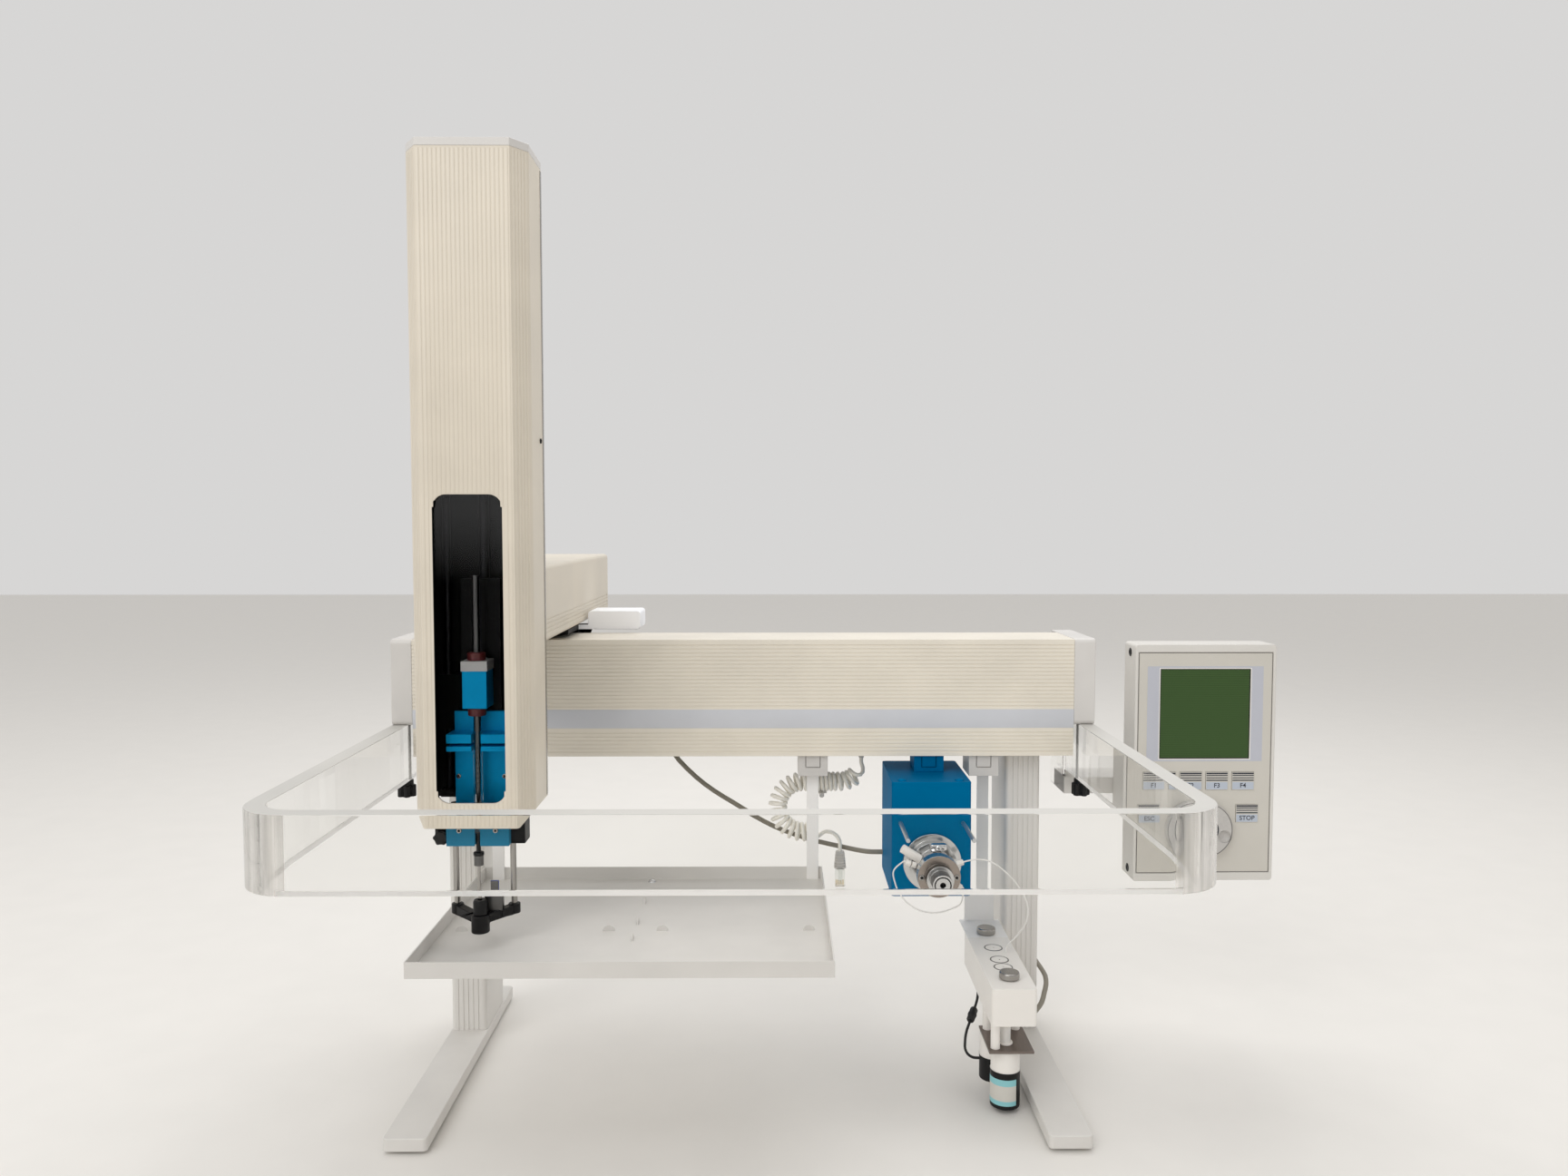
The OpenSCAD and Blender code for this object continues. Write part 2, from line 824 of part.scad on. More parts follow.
module columns() {
    color(light_grey) placed() for (side = [-1, 1]) {
        translate([side * leg_spacing / 2, column_y, foot_z1])
        linear_extrude(rail_z - foot_z1) difference() {
            rounded_rect(column_w, column_d, foot_corner_r);
            square([column_w - 2 * column_wall, column_d - 2 * column_wall], center = true);
            for (i = [-ribs_each_side : ribs_each_side], end = [-1, 1]) {
                translate([i * rib_pitch, end * column_d / 2])
                    square([rib_w, 2 * groove_depth], center = true);
            }
        }
    }
}

module foot_pads() {
    color(black) placed() for (side = [-1, 1], y = [foot_y0 + pad_inset, foot_y1 - pad_inset]) {
        bar_z([side * leg_spacing / 2, y, 0], pad_t, pad_r);
    }
}

// Beam

module rail_profile() {
    difference() {
        translate([rail_y0, rail_z]) square([rail_d, rail_floor]);
        translate([slot_y, rail_z - cut]) square([slot_w, slot_depth + cut]);
    }
    translate([rail_in, rail_z]) square([rail_wall, rail_top - rail_z]);
}

module beam_rail() {
    color(light_grey) placed() {
        along_beam(2 * cover_half) rail_profile();
        for (side = [-1, 1]) {
            translate([side * (cover_half - end_plate_t / 2), 0, 0]) along_beam(end_plate_t)
                translate([rail_y0, rail_in_z]) square([rail_d - rail_wall, rail_top - rail_in_z]);
        }
    }
}

module cover_profile() {
    difference() {
        translate([0, cover_z]) square([cover_wall, cover_h]);
        for (z = [cover_z + groove_pitch : groove_pitch : cover_top - groove_pitch - groove_w]) {
            if (z + groove_w < band_z || z > band_z + band_h) {
                translate([-cut, z]) square([groove_depth + cut, groove_w]);
            }
        }
    }
    translate([0, cover_top - cover_wall]) square([cover_d, cover_wall]);
    translate([0, cover_z]) square([rail_y0 + cover_lip_d, cover_lip]);
}

module beam_cover() {
    color(beige) placed() along_beam(2 * cover_half) cover_profile();
}

module end_caps() {
    color(light_grey) placed() for (side = [-1, 1]) difference() {
        translate([side * (cover_half + cap_w / 2), 0, 0]) along_beam(cap_w)
            translate([rail_y1 / 2, cap_z + cap_h / 2]) rounded_rect(rail_y1, cap_h, cap_edge_r);
        bar_z([side * knob_x, knob_y, cap_z - cut], stud_bite + 2 * cut, stud_r + bearing_gap);
    }
}

module x_guide_rods() {
    color(steel) placed() for (i = [0, 1]) {
        bar_x([-rail_half, x_rod_y, x_rod_z + i * x_rod_pitch], 2 * rail_half, x_rod_r);
    }
}

module belt_outline(r) {
    for (x = [pulley_x0, pulley_x1]) translate([x, 0]) circle(r);
    translate([pulley_x0, -r]) square([pulley_x1 - pulley_x0, 2 * r]);
}

module x_drive() {
    color(dark_grey) placed() {
        translate([pulley_x1, 0, belt_z]) upright(motor_y0, motor_l)
            rounded_rect(motor_w, motor_w, motor_edge_r);
        block([pulley_x1 - motor_w / 2, motor_y0, rail_in_z],
            [pulley_x1 + motor_w / 2, motor_y0 + motor_l, belt_z - motor_edge_r]);
        block([pulley_x0 - idler_w / 2, motor_y0, rail_in_z],
            [pulley_x0 + idler_w / 2, motor_y0 + idler_t, belt_z + idler_w / 2]);
        for (x = [pulley_x0, pulley_x1]) {
            bar_y([x, belt_y, belt_z], belt_w + pulley_lip, pulley_r - slide_gap);
        }
    }
    color(black) placed() translate([0, 0, belt_z]) upright(belt_y, belt_w) difference() {
        belt_outline(pulley_r + belt_t);
        belt_outline(pulley_r);
    }
}

module x_carriage() {
    color(dark_grey) placed() translate([carriage_x, 0, 0]) difference() {
        half = carriage_w / 2;
        box_x0 = arm_w / 2 + side_box_gap;
        union() {
            block([-half, x_rod_y - bearing_half, carriage_z0], [half, x_rod_y + bearing_half, carriage_z1]);
            block([-half, x_rod_y, bridge_z], [half, neck_y1, carriage_z1]);
            block([-half, neck_y0, bridge_z], [half, neck_y1, plate_z]);
            block([-grip_w / 2, belt_y, belt_z + pulley_r + belt_t + slide_gap],
                [grip_w / 2, belt_y + belt_w, bridge_z]);
            block([-half, shoe_y0, plate_z], [half, neck_y1, plate_top]);
            block([0, neck_y0, plate_z], [box_x0 + side_box_w / 2, neck_y1, plate_top]);
            translate([box_x0 + side_box_w / 2, 0, plate_z + side_box_h / 2]) upright(neck_y0, side_box_d)
                rounded_rect(side_box_w, side_box_h, side_box_r);
            block([-shoe_neck_w / 2, shoe_y0, plate_z], [shoe_neck_w / 2, neck_y1, arm_in_z + slide_gap]);
            block([-arm_w / 2 + arm_wall + slide_gap, shoe_y0, arm_in_z + slide_gap],
                [arm_w / 2 - arm_wall - slide_gap, neck_y1, arm_in_z + slide_gap + shoe_h]);
        }
        for (i = [0, 1]) {
            bar_x([-half - cut, x_rod_y, x_rod_z + i * x_rod_pitch], carriage_w + 2 * cut,
                x_rod_r + bearing_gap);
        }
    }
}

// Arm

module arm_outline() {
    rounded_rect(arm_w, arm_h, arm_edge_r);
}

module y_arm_cover() {
    color(beige) placed() translate([carriage_x, arm_y0, arm_z + arm_h / 2]) {
        upright(0, arm_l - arm_end_t) difference() {
            arm_outline();
            square([arm_w - 2 * arm_wall, arm_h - 2 * arm_wall], center = true);
            translate([-shoe_neck_w / 2 - slide_gap, -arm_h / 2 - cut])
                square([shoe_neck_w + 2 * slide_gap, arm_wall + 2 * cut]);
            for (i = [1 : arm_grooves], side = [-1, 1]) {
                translate([side * arm_w / 2, -arm_h / 2 + arm_edge_r + i * groove_pitch])
                    square([2 * groove_depth, groove_w], center = true);
            }
        }
        upright(arm_l - arm_end_t, arm_end_t) arm_outline();
    }
}

// Tower

module tower_outline(inset) {
    half = tower_w / 2 - inset;
    face = tower_face_w / 2 - inset / 2;
    polygon([
        [-face, inset], [face, inset], [half, chamfer_d + inset / 2], [half, tower_d],
        [-half, tower_d], [-half, chamfer_d + inset / 2]
    ]);
}

module window_outline(grow) {
    rounded_rect(window_w + 2 * grow, window_h + 2 * grow, window_r + grow);
}

module tower_cover() {
    color(beige) at_tower() difference() {
        translate([0, 0, chin_z]) linear_extrude(cover_end_z - chin_z) difference() {
            tower_outline(0);
            tower_outline(tower_wall);
            translate([0, tower_d]) square([tower_w - 2 * tower_wall, 2 * cut], center = true);
        }
        rotate([90, 0, 90]) translate([0, 0, -tower_w]) linear_extrude(2 * tower_w) polygon([
            [tower_wall, chin_z - cut], [tower_wall, chin_z], [chamfer_d, cheek_z], [tower_d + cut, cheek_z],
            [tower_d + cut, chin_z - cut]
        ]);
        translate([0, 0, window_z + window_h / 2]) upright(-cut, tower_wall + 2 * cut) window_outline(0);
    }
}

module tower_cap() {
    color(light_grey) at_tower() translate([0, 0, cover_end_z]) linear_extrude(tower_cap_t) tower_outline(0);
}

module tower_window() {
    color(black) at_tower() translate([0, 0, window_z + window_h / 2])
        upright(tower_wall, pane_t) window_outline(pane_lap);
}

module tower_frame() {
    half = tower_w / 2 - tower_wall;
    color(dark_grey) at_tower() {
        block([-half, frame_y, cheek_z], [half, tower_d, cover_end_z]);
        for (z = [ear_z0, ear_z1]) difference() {
            block([-z_rod_x - ear_lap, ear_y0, z], [z_rod_x + ear_lap, frame_y, z + ear_t]);
            bar_z([0, z_axis_y, z - cut], ear_t + 2 * cut, z_screw_r + bearing_gap);
        }
    }
}

module z_motor() {
    color(black) at_tower() difference() {
        translate([0, z_axis_y - z_motor_shift, ear_z1 + ear_t]) linear_extrude(z_motor_l)
            rounded_rect(motor_w, motor_w, motor_edge_r);
        bar_z([0, z_axis_y, ear_z1], ear_t + screw_socket, z_screw_r + bearing_gap);
    }
}

module z_guide_rods() {
    color(steel) at_tower() for (side = [-1, 1]) {
        bar_z([side * z_rod_x, z_axis_y, ear_z0 + ear_t], ear_z1 - ear_z0 - ear_t, z_rod_r);
    }
}

module z_screw() {
    l = ear_z1 - ear_z0 + ear_t + screw_bite;
    color(steel) at_tower() bar_z([0, z_axis_y, ear_z0 + screw_lift], l, z_screw_r);
}

// Syringe head

module head_block() {
    color(black) at_tower() difference() {
        union() {
            block([-head_w / 2, head_y0, head_z], [head_w / 2, head_y1, head_top]);
            block([-web_w / 2, web_y0, head_top], [web_w / 2, head_y1, web_top]);
            block([-saddle_w / 2, saddle_y0, saddle_z0], [saddle_w / 2, saddle_y1, saddle_z1]);
            block([-web_w / 2, head_y1, saddle_z0], [web_w / 2, saddle_y1, saddle_z1]);
        }
        for (side = [-1, 1]) {
            bar_z([side * z_rod_x, z_axis_y, saddle_z0 - cut], saddle_h + 2 * cut, z_rod_r + bearing_gap);
            bar_z([side * guide_pitch / 2, guide_y, head_z - cut], head_h + 2 * cut,
                guide_rod_r + bearing_gap);
        }
        bar_z([0, z_axis_y, saddle_z0 - cut], saddle_h + 2 * cut, z_screw_r + bearing_gap);
        block([-key_slot_w / 2, web_y0 - cut, head_top + holder_h],
            [key_slot_w / 2, web_y0 + key_slot_d, web_top + cut]);
    }
}

module syringe_holder() {
    hole_r = barrel_r + bearing_gap;
    color(blue) at_tower() {
        difference() {
            block([-lip_w / 2, needle_depth - lip_d, head_z], [lip_w / 2, head_y0, head_top]);
            bar_z([0, needle_depth, head_z - cut], head_h + 2 * cut, hole_r);
            block([-lip_slot_w / 2, needle_depth - lip_d - cut, head_z - cut],
                [lip_slot_w / 2, needle_depth, head_top + cut]);
        }
        difference() {
            union() {
                block([-holder_w / 2, holder_y, head_top], [holder_w / 2, web_y0, head_top + holder_h]);
                for (bar = holder_bars) {
                    block([-holder_bar_w / 2, needle_depth - holder_bar_reach, bar[0]],
                        [holder_bar_w / 2, web_y0, bar[0] + bar[1]]);
                }
            }
            bar_z([0, needle_depth, head_top], holder_h + cut, hole_r);
            block([-hole_r, needle_depth - holder_bar_reach - cut, head_top],
                [hole_r, needle_depth, plunger_z]);
        }
    }
}

module syringe_barrel() {
    color("lightcyan") at_tower() difference() {
        bar_z([0, needle_depth, barrel_z], barrel_l, barrel_r);
        bar_z([0, needle_depth, barrel_z + barrel_floor], barrel_l, barrel_bore_r);
    }
}

module needle() {
    color(steel) at_tower() {
        bar_z([0, needle_depth, hub_z], hub_h, hub_r);
        bar_z([0, needle_depth, hub_z + hub_h], barrel_z - hub_z - hub_h, barrel_r / 2);
        bar_z([0, needle_depth, hub_z - sleeve_l], sleeve_l, sleeve_r);
        bar_z([0, needle_depth, needle_z], hub_z - needle_z, needle_r);
    }
}

module plunger_block() {
    color(blue) at_tower() {
        half = plunger_w / 2;
        front = needle_depth - plunger_reach;
        back = web_y0 - slide_gap;
        neck = plunger_top - plunger_cap_h;
        block([-half, front, plunger_z], [half, back, neck]);
        block([-half - plunger_lip, front - plunger_lip, neck], [half + plunger_lip, back, plunger_top]);
        block([-key_slot_w / 2 + slide_gap, back, plunger_z],
            [key_slot_w / 2 - slide_gap, web_y0 + key_slot_d - slide_gap, plunger_top]);
    }
}

module plunger_knob() {
    color(maroon) at_tower() {
        bar_z([0, needle_depth, plunger_top], plunger_knob_h, plunger_knob_r);
        bar_z([0, needle_depth, plunger_z - plunger_knob_h], plunger_knob_h, plunger_knob_r);
    }
}

module plunger_rod() {
    color(steel) at_tower() {
        thumb_z = barrel_top + thumb_gap;
        tip_z = barrel_z + tip_lift;
        bar_z([0, needle_depth, plunger_top + plunger_knob_h], drive_rod_l, drive_rod_r);
        bar_z([0, needle_depth, thumb_z], plunger_z - plunger_knob_h - thumb_z, thumb_r);
        bar_z([0, needle_depth, tip_z], thumb_z - tip_z, barrel_bore_r - bearing_gap);
    }
}

module guide_foot() {
    reach = [guide_pitch / 2, guide_y - needle_depth];
    turn = atan2(reach[1], reach[0]);
    color(black) at_tower() difference() {
        union() {
            bar_z([0, needle_depth, nose_z], nose_h, nose_r);
            for (side = [-1, 1]) {
                bar_z([side * reach[0], guide_y, boss_z], boss_h, boss_r);
                translate([0, needle_depth, boss_z]) rotate([0, 0, side > 0 ? turn : 180 - turn])
                    upright(-arm_bar_w / 2, arm_bar_w) polygon([
                        [0, -arm_fall], [norm(reach), 0], [norm(reach), arm_bar_h], [0, arm_bar_h - arm_fall]
                    ]);
            }
            block([latch_low[0], latch_low[1], boss_z],
                [latch_low[0] + latch_size[0], latch_low[1] + latch_size[1], latch_low[2]]);
        }
        bar_z([0, needle_depth, nose_z - cut], nose_h + 2 * cut, guide_bore_r);
        block(latch_low, latch_low + latch_size);
    }
}

module guide_rods() {
    rod_z0 = boss_z + boss_h;
    rod_z1 = head_top + slide_gap;
    color(steel) at_tower() {
        for (side = [-1, 1]) {
            bar_z([side * guide_pitch / 2, guide_y, rod_z0], rod_z1 - rod_z0, guide_rod_r);
            bar_z([side * guide_pitch / 2, guide_y, rod_z1], collar_h, collar_r);
        }
        block(latch_low, latch_low + latch_size);
        block(latch_low + lever_shift, latch_low + lever_shift + lever_size);
    }
}

// Guard

module guard_outline(inset) {
    half = guard_w / 2 - inset;
    r = guard_r - inset;
    front = -guard_reach + inset;
    for (side = [-1, 1]) translate([side * (half - r), front + r]) circle(r);
    translate([-half + r, front]) square([2 * half - 2 * r, r]);
    translate([-half, front + r]) square([2 * half, guard_tail - front - r + (inset > 0 ? cut : 0)]);
}

module guard() {
    color("lightblue") placed() difference() {
        translate([0, 0, guard_z0]) linear_extrude(guard_h) difference() {
            guard_outline(0);
            guard_outline(guard_t);
        }
        for (side = [-1, 1]) {
            bar_z([side * knob_x, knob_y, guard_z0 - cut], guard_h + 2 * cut, stud_r + bearing_gap);
        }
    }
}

module guard_knob(side) {
    color(black) placed() translate([side * knob_x, knob_y, guard_z0 - slide_gap - knob_h]) {
        bar_z([0, 0, 0], knob_h, knob_core_r);
        for (i = [1 : knob_lobes]) {
            rotate([0, 0, 360 / knob_lobes * i]) bar_z([knob_r - lobe_r, 0, 0], lobe_h, lobe_r);
        }
        bar_z([0, 0, knob_h], slide_gap + guard_h + stud_bite, stud_r);
    }
}

// Tray and clamps

module lug(x, y, turn) {
    translate([x, y, tray_floor]) rotate([0, 0, turn]) intersection() {
        bar_y([0, -tray_t / 2, 0], tray_t, lug_r);
        translate([-lug_r, -tray_t, 0]) cube([2 * lug_r, 2 * tray_t, lug_r]);
    }
}

module tray() {
    color(light_grey) placed() {
        difference() {
            block([tray_x0, tray_y0, tray_z], [tray_x1, tray_y1, tray_rim_z]);
            block([tray_x0 + tray_t, tray_y0 + tray_t, tray_floor],
                [tray_x1 - tray_t, tray_y1 - tray_t, tray_rim_z + cut]);
        }
        for (x = [-rack_lug_x, -rack_pitch / 2, rack_pitch / 2, rack_lug_x], y = lug_rows) {
            lug(tray_x + x, y, 0);
        }
        for (y = divider_rows) lug(tray_x, y, 90);
    }
}

module tray_hangers() {
    color(ivory) placed() for (x = strip_xs) {
        block([x - strip_w / 2, strip_y1 - strip_t, tray_floor], [x + strip_w / 2, strip_y1, clamp_z]);
    }
}

module clamp(x, z, y1) {
    difference() {
        union() {
            block([x - clamp_w / 2, clamp_y0, z], [x + clamp_w / 2, y1, cover_z]);
            block([x - clamp_w / 2, rail_y0 + cover_lip_d + slide_gap, z], [x + clamp_w / 2, y1, rail_z]);
            block([x - clamp_w / 2, slot_y + slide_gap, z],
                [x + clamp_w / 2, slot_y + slot_w - slide_gap, rail_z + slot_depth - slide_gap]);
        }
        for (side = [-1, 1]) {
            block([x + side * latch_w / 2 - latch_line / 2, clamp_y0 - cut, cover_z - latch_h],
                [x + side * latch_w / 2 + latch_line / 2, clamp_y0 + latch_depth, cover_z + cut]);
        }
        block([x - latch_w / 2, clamp_y0 - cut, cover_z - latch_h - latch_line],
            [x + latch_w / 2, clamp_y0 + latch_depth, cover_z - latch_h]);
    }
}

module rail_clamps() {
    color(light_grey) placed() {
        for (x = strip_xs) clamp(x, clamp_z, clamp_y1);
        clamp(wash_clamp_x, clamp_z, bracket_y1);
        block([peg_x - hook_w / 2, hook_y, peg_z - peg_r], [peg_x + hook_w / 2, hook_y + strip_t, rail_z]);
        bar_y([peg_x, cord_y - curl_r, peg_z], hook_y - cord_y + curl_r + strip_t, peg_r);
    }
    color(blue) placed() clamp(valve_clamp_x, valve_top, clamp_y1);
}

// Injection valve

module valve_drive() {
    color(blue) placed() difference() {
        translate([valve_x, (valve_y0 + valve_y1) / 2, valve_z0]) linear_extrude(valve_h)
            rounded_rect(valve_w, valve_d, valve_edge_r);
        block([valve_x - valve_w / 2 + valve_wall, valve_y0 + valve_wall, valve_z0 + valve_wall],
            [valve_x + valve_w / 2 - valve_wall, valve_y1 - valve_back_t, valve_top - valve_wall]);
        bar_y([valve_x, valve_y0 - cut, valve_z], valve_wall + 2 * cut, rotor_shaft_r + bearing_gap);
    }
}

module valve_stator() {
    color(steel) at_valve() {
        difference() {
            bar_y([0, stator_y1, 0], flange_t, flange_r);
            bar_y([0, stator_y1 - cut, 0], flange_t + 2 * cut, rotor_shaft_r + bearing_gap);
        }
        difference() {
            union() {
                bar_y([0, stator_y1 - stator_ring_l, 0], stator_ring_l, stator_ring_r);
                bar_y([0, stator_y0, 0], stator_l, stator_neck_r);
                bar_y([0, stator_y0, 0], stator_disc_l, stator_r);
                bar_y([0, stator_y0 - port_collar_l, 0], port_collar_l, port_collar_r);
                bar_y([0, port_y0, 0], port_l, port_r);
            }
            bar_y([0, stator_y1 - rotor_l - rotor_gap, 0], rotor_l + rotor_gap + cut, rotor_r + rotor_gap);
            bar_y([0, port_y0 - cut, 0], port_l, port_bore_r);
            for (f = fittings) {
                translate([0, stator_y1 - f[1], 0]) rotate([0, -f[0], 0])
                    bar_x([stator_neck_r - stem_l - rotor_gap, 0, 0],
                        stem_l + rotor_gap + cut, stem_r + bearing_gap);
            }
        }
        for (side = [-1, 1]) {
            bar_y([side * guide_pin_side, valve_y0 - guide_pin_l, guide_pin_rise], guide_pin_l, guide_pin_r);
        }
    }
}

module valve_rotor() {
    color(dark_grey) at_valve() {
        bar_y([0, stator_y1 - rotor_l, 0], rotor_l - rotor_gap, rotor_r);
        bar_y([0, stator_y1 - rotor_l, 0], rotor_l + flange_t + valve_wall + rotor_tail, rotor_shaft_r);
        translate([0, valve_y0 + valve_wall + rotor_lever_gap, -rotor_lever[2] / 2]) cube(rotor_lever);
    }
}

module valve_fittings() {
    color(ivory) at_valve() for (f = fittings) {
        translate([0, stator_y1 - f[1], 0]) rotate([0, -f[0], 0]) {
            bar_x([stator_neck_r - stem_l, 0, 0], stem_l + f[4], stem_r);
            bar_x([stator_neck_r + f[4], 0, 0], f[3], f[2]);
        }
    }
}

// The loop leaves one fitting, hangs in a ring below the stator and comes back to another fitting
function loop_point(f, r, a) = [r * cos(a), stator_y1 - f[1], r * sin(a)];
function fitting_end(f) = stator_neck_r + f[4] + f[3];
loop_from = fittings[loop_start];
loop_to = fittings[loop_end];
loop_points = concat(
    [for (l = [0, loop_straight]) loop_point(loop_from, fitting_end(loop_from) + l, loop_from[0])],
    [for (a = [loop_from[0] + loop_step : loop_step : loop_to[0] - loop_step / 2])
        loop_point(loop_from, fitting_end(loop_from) + loop_swell, a) - [0, loop_wave * sin(2 * a), 0]],
    [for (l = [loop_straight, 0]) loop_point(loop_to, fitting_end(loop_to) + l, loop_to[0])]);

module sample_loop() {
    color(ivory) at_valve() tube(smooth_route(loop_points, 2), loop_d, lead_sides, [0, 1, 0]);
}

// Wash station

module wash_bracket() {
    half = wash_w / 2;
    color(light_grey) placed() difference() {
        union() {
            block([wash_x - half, wash_y1 - wash_ledge, wash_top - bracket_t],
                [wash_x + half, bracket_y1, wash_top]);
            block([wash_x - bracket_w / 2, bracket_y1 - bracket_t, wash_top - bracket_t],
                [wash_x + bracket_w / 2, bracket_y1, wash_top + bracket_rise]);
            block([wash_x + wash_strip_x - strip_w / 2, bracket_y1 - bracket_t, wash_top],
                [wash_x + wash_strip_x + strip_w / 2, bracket_y1, clamp_z]);
        }
        bar_z([wash_x, nut_rows[0], wash_top - bracket_t - cut], bracket_t + 2 * cut, nut_hole_r);
    }
}

module wash_block() {
    color(ivory) placed() difference() {
        translate([wash_x, (wash_y0 + wash_y1) / 2, wash_z0]) linear_extrude(wash_h)
            rounded_rect(wash_w, wash_l, wash_edge_r);
        block([wash_x - wash_w, wash_y1 - wash_ledge, wash_top - bracket_t],
            [wash_x + wash_w, wash_y1 + cut, wash_top + cut]);
        for (y = well_rows) bar_z([wash_x, y, wash_top - well_ring_depth], well_ring_depth + cut, well_r);
        for (y = well_rows) bar_z([wash_x, y, wash_z0 + well_floor], wash_h, well_bore_r);
    }
}

module wash_nuts() {
    color(steel) placed() for (y = nut_rows) {
        bar_z([wash_x, y, wash_top], nut_h, nut_r);
    }
}

module pump_plate() {
    color(dark_grey) placed() {
        block([wash_x - wash_w / 2, plate_y0, plate_z1 - pump_plate],
            [wash_x + wash_w / 2, plate_y1, plate_z1]);
        for (p = post_spots) bar_z([wash_x + p[0], p[1], plate_z1], wash_z0 - plate_z1, post_r);
        bar_z([pump_x, pump_rows[0], plate_z1], wash_z0 - plate_z1, tube_r);
    }
}

module wash_pumps() {
    color(black) placed() for (i = [0, 1]) {
        x = pump_x - i * rear_pump_shift;
        h = pump_l - i * rear_pump_less;
        bar_z([x, pump_rows[i], plate_z1 - pump_plate - pump_head_h], pump_head_h, pump_r);
        bar_z([x, pump_rows[i], plate_z1 - pump_plate - h], h - pump_head_h, pump_r + pump_lip);
    }
}

module pump_lead() {
    color(black) placed() tube(smooth_route(pump_lead_route, 2), lead_d, lead_sides, [0, 1, 0]);
}

// Keypad

module keypad_bracket() {
    color(light_grey) placed() {
        block([arm_plate_x, arm_plate_y0, bracket_z], [arm_plate_x + arm_plate_t, arm_plate_y1, cap_z]);
        block([arm_plate_x, bracket_y0, bracket_z],
            [keypad_x, bracket_y0 + bracket_d, bracket_z + bracket_h]);
        block([keypad_x - holder_plate_w / 2, bracket_y0, bracket_z],
            [keypad_x + holder_plate_w / 2, bracket_y0 + arm_plate_t, bracket_z + holder_plate_h]);
    }
}

module keypad_shell() {
    color(ivory) at_keypad() difference() {
        upright(0, keypad_d) rounded_rect(keypad_w, keypad_h, keypad_corner_r);
        upright(-cut, panel_back + cut) square([panel_w, panel_h], center = true);
        upright(0, keypad_d - keypad_wall)
            square([panel_w - 2 * panel_ledge, panel_h - 2 * panel_ledge], center = true);
    }
}

module key_hole(x, z, grow) {
    translate([x, z]) square([key_w + 2 * grow, key_h + 2 * grow], center = true);
}

function_xs = [-1.5 * key_pitch, -0.5 * key_pitch, 0.5 * key_pitch, 1.5 * key_pitch];

module keypad_panel() {
    color([0.8, 0.78, 0.73]) at_keypad() difference() {
        upright(panel_y, panel_t) difference() {
            square([panel_w - 2 * panel_gap, panel_h - 2 * panel_gap], center = true);
            translate([0, screen_z]) square([screen_w, screen_w], center = true);
            for (x = function_xs) key_hole(x, function_z, slide_gap);
            for (x = [-stop_x, stop_x]) key_hole(x, stop_z, slide_gap);
        }
        bar_y([0, 0, jog_z], keypad_d, jog_shaft_r + bearing_gap);
    }
}

module keypad_screen() {
    color([0.24, 0.33, 0.18]) at_keypad() translate([0, 0, screen_z]) {
        upright(panel_y + screen_sink, panel_t - screen_sink) square(screen_w - 2 * panel_gap, center = true);
        upright(panel_back, screen_back_t) square(screen_w + 2 * screen_lap, center = true);
    }
}

module key(x, z) {
    color(light_grey) at_keypad() {
        upright(key_y0, panel_back + slide_gap - key_y0) key_hole(x, z, 0);
        upright(panel_back + slide_gap, key_flange) key_hole(x, z, key_flange);
    }
}

module jog_wheel() {
    color([0.75, 0.73, 0.71]) at_keypad() translate([0, 0, jog_z]) difference() {
        union() {
            bar_y([0, jog_y0, 0], jog_y1 - jog_y0, jog_r);
            bar_y([0, jog_y1, 0], jog_shaft_l, jog_shaft_r);
        }
        bar_y([0, jog_y0 - cut, 0], jog_y1 - jog_floor - jog_y0 + cut, enter_r + slide_gap);
        bar_y([0, jog_y0, 0], keypad_d, enter_stem_r + slide_gap);
        translate(dimple_at) sphere(dimple_r);
    }
}

module enter_button() {
    color([0.8, 0.79, 0.77]) at_keypad() translate([0, 0, jog_z]) {
        bar_y([0, enter_y0, 0], jog_y1 - jog_floor - enter_travel - slide_gap - enter_y0, enter_r);
        bar_y([0, enter_y0, 0], jog_y1 + jog_shaft_l - enter_y0, enter_stem_r);
    }
}

// Leads

module valve_cable() {
    color([0.5, 0.49, 0.45]) placed()
        tube(smooth_route(valve_cable_route, 2), cable_d, cable_sides, [0, 1, 0]);
}

module wash_cable() {
    color([0.59, 0.56, 0.5]) placed()
        tube(smooth_route(wash_cable_route, 2), cable_d, cable_sides, [1, 0, 0]);
}

module wash_tube() {
    color(ivory) placed() tube(smooth_route(wash_tube_route, 3), loop_d, lead_sides, [0, 1, 0]);
}

// Point and heading of the curly cord's middle line after a length of it, in X and Z
function line_at(s) =
    s < cord_arc_1
    ? let (a = s / cord_turn_r * 180 / PI)
        [[cord_plug_x - cord_turn_r * (1 - cos(a)), cord_start_z - cord_turn_r * sin(a)],
            [-sin(a), -cos(a)]]
    : s < cord_arc_1 + cord_run_1
    ? [[cord_plug_x - cord_turn_r - (s - cord_arc_1), cord_start_z - cord_turn_r], [-1, 0]]
    : s < cord_arc_1 + cord_run_1 + cord_arc_2
    ? let (a = (s - cord_arc_1 - cord_run_1) / cord_bend_r * 180 / PI)
        [[cord_plug_x - cord_turn_r - cord_run_1 - cord_bend_r * sin(a),
            cord_start_z - cord_turn_r - cord_bend_r * (1 - cos(a))], [-cos(a), -sin(a)]]
    : [[cord_plug_x - cord_turn_r - cord_run_1 + (s - cord_len + cord_run_2),
        cord_start_z - cord_turn_r - 2 * cord_bend_r], [1, 0]];

// The curls open out over the first curl and close again over the last one
function curl_radius(s) =
    let (t = min(s, cord_len - s) / curl_pitch)
    t >= 1 ? curl_r : curl_r * t * t * (3 - 2 * t);

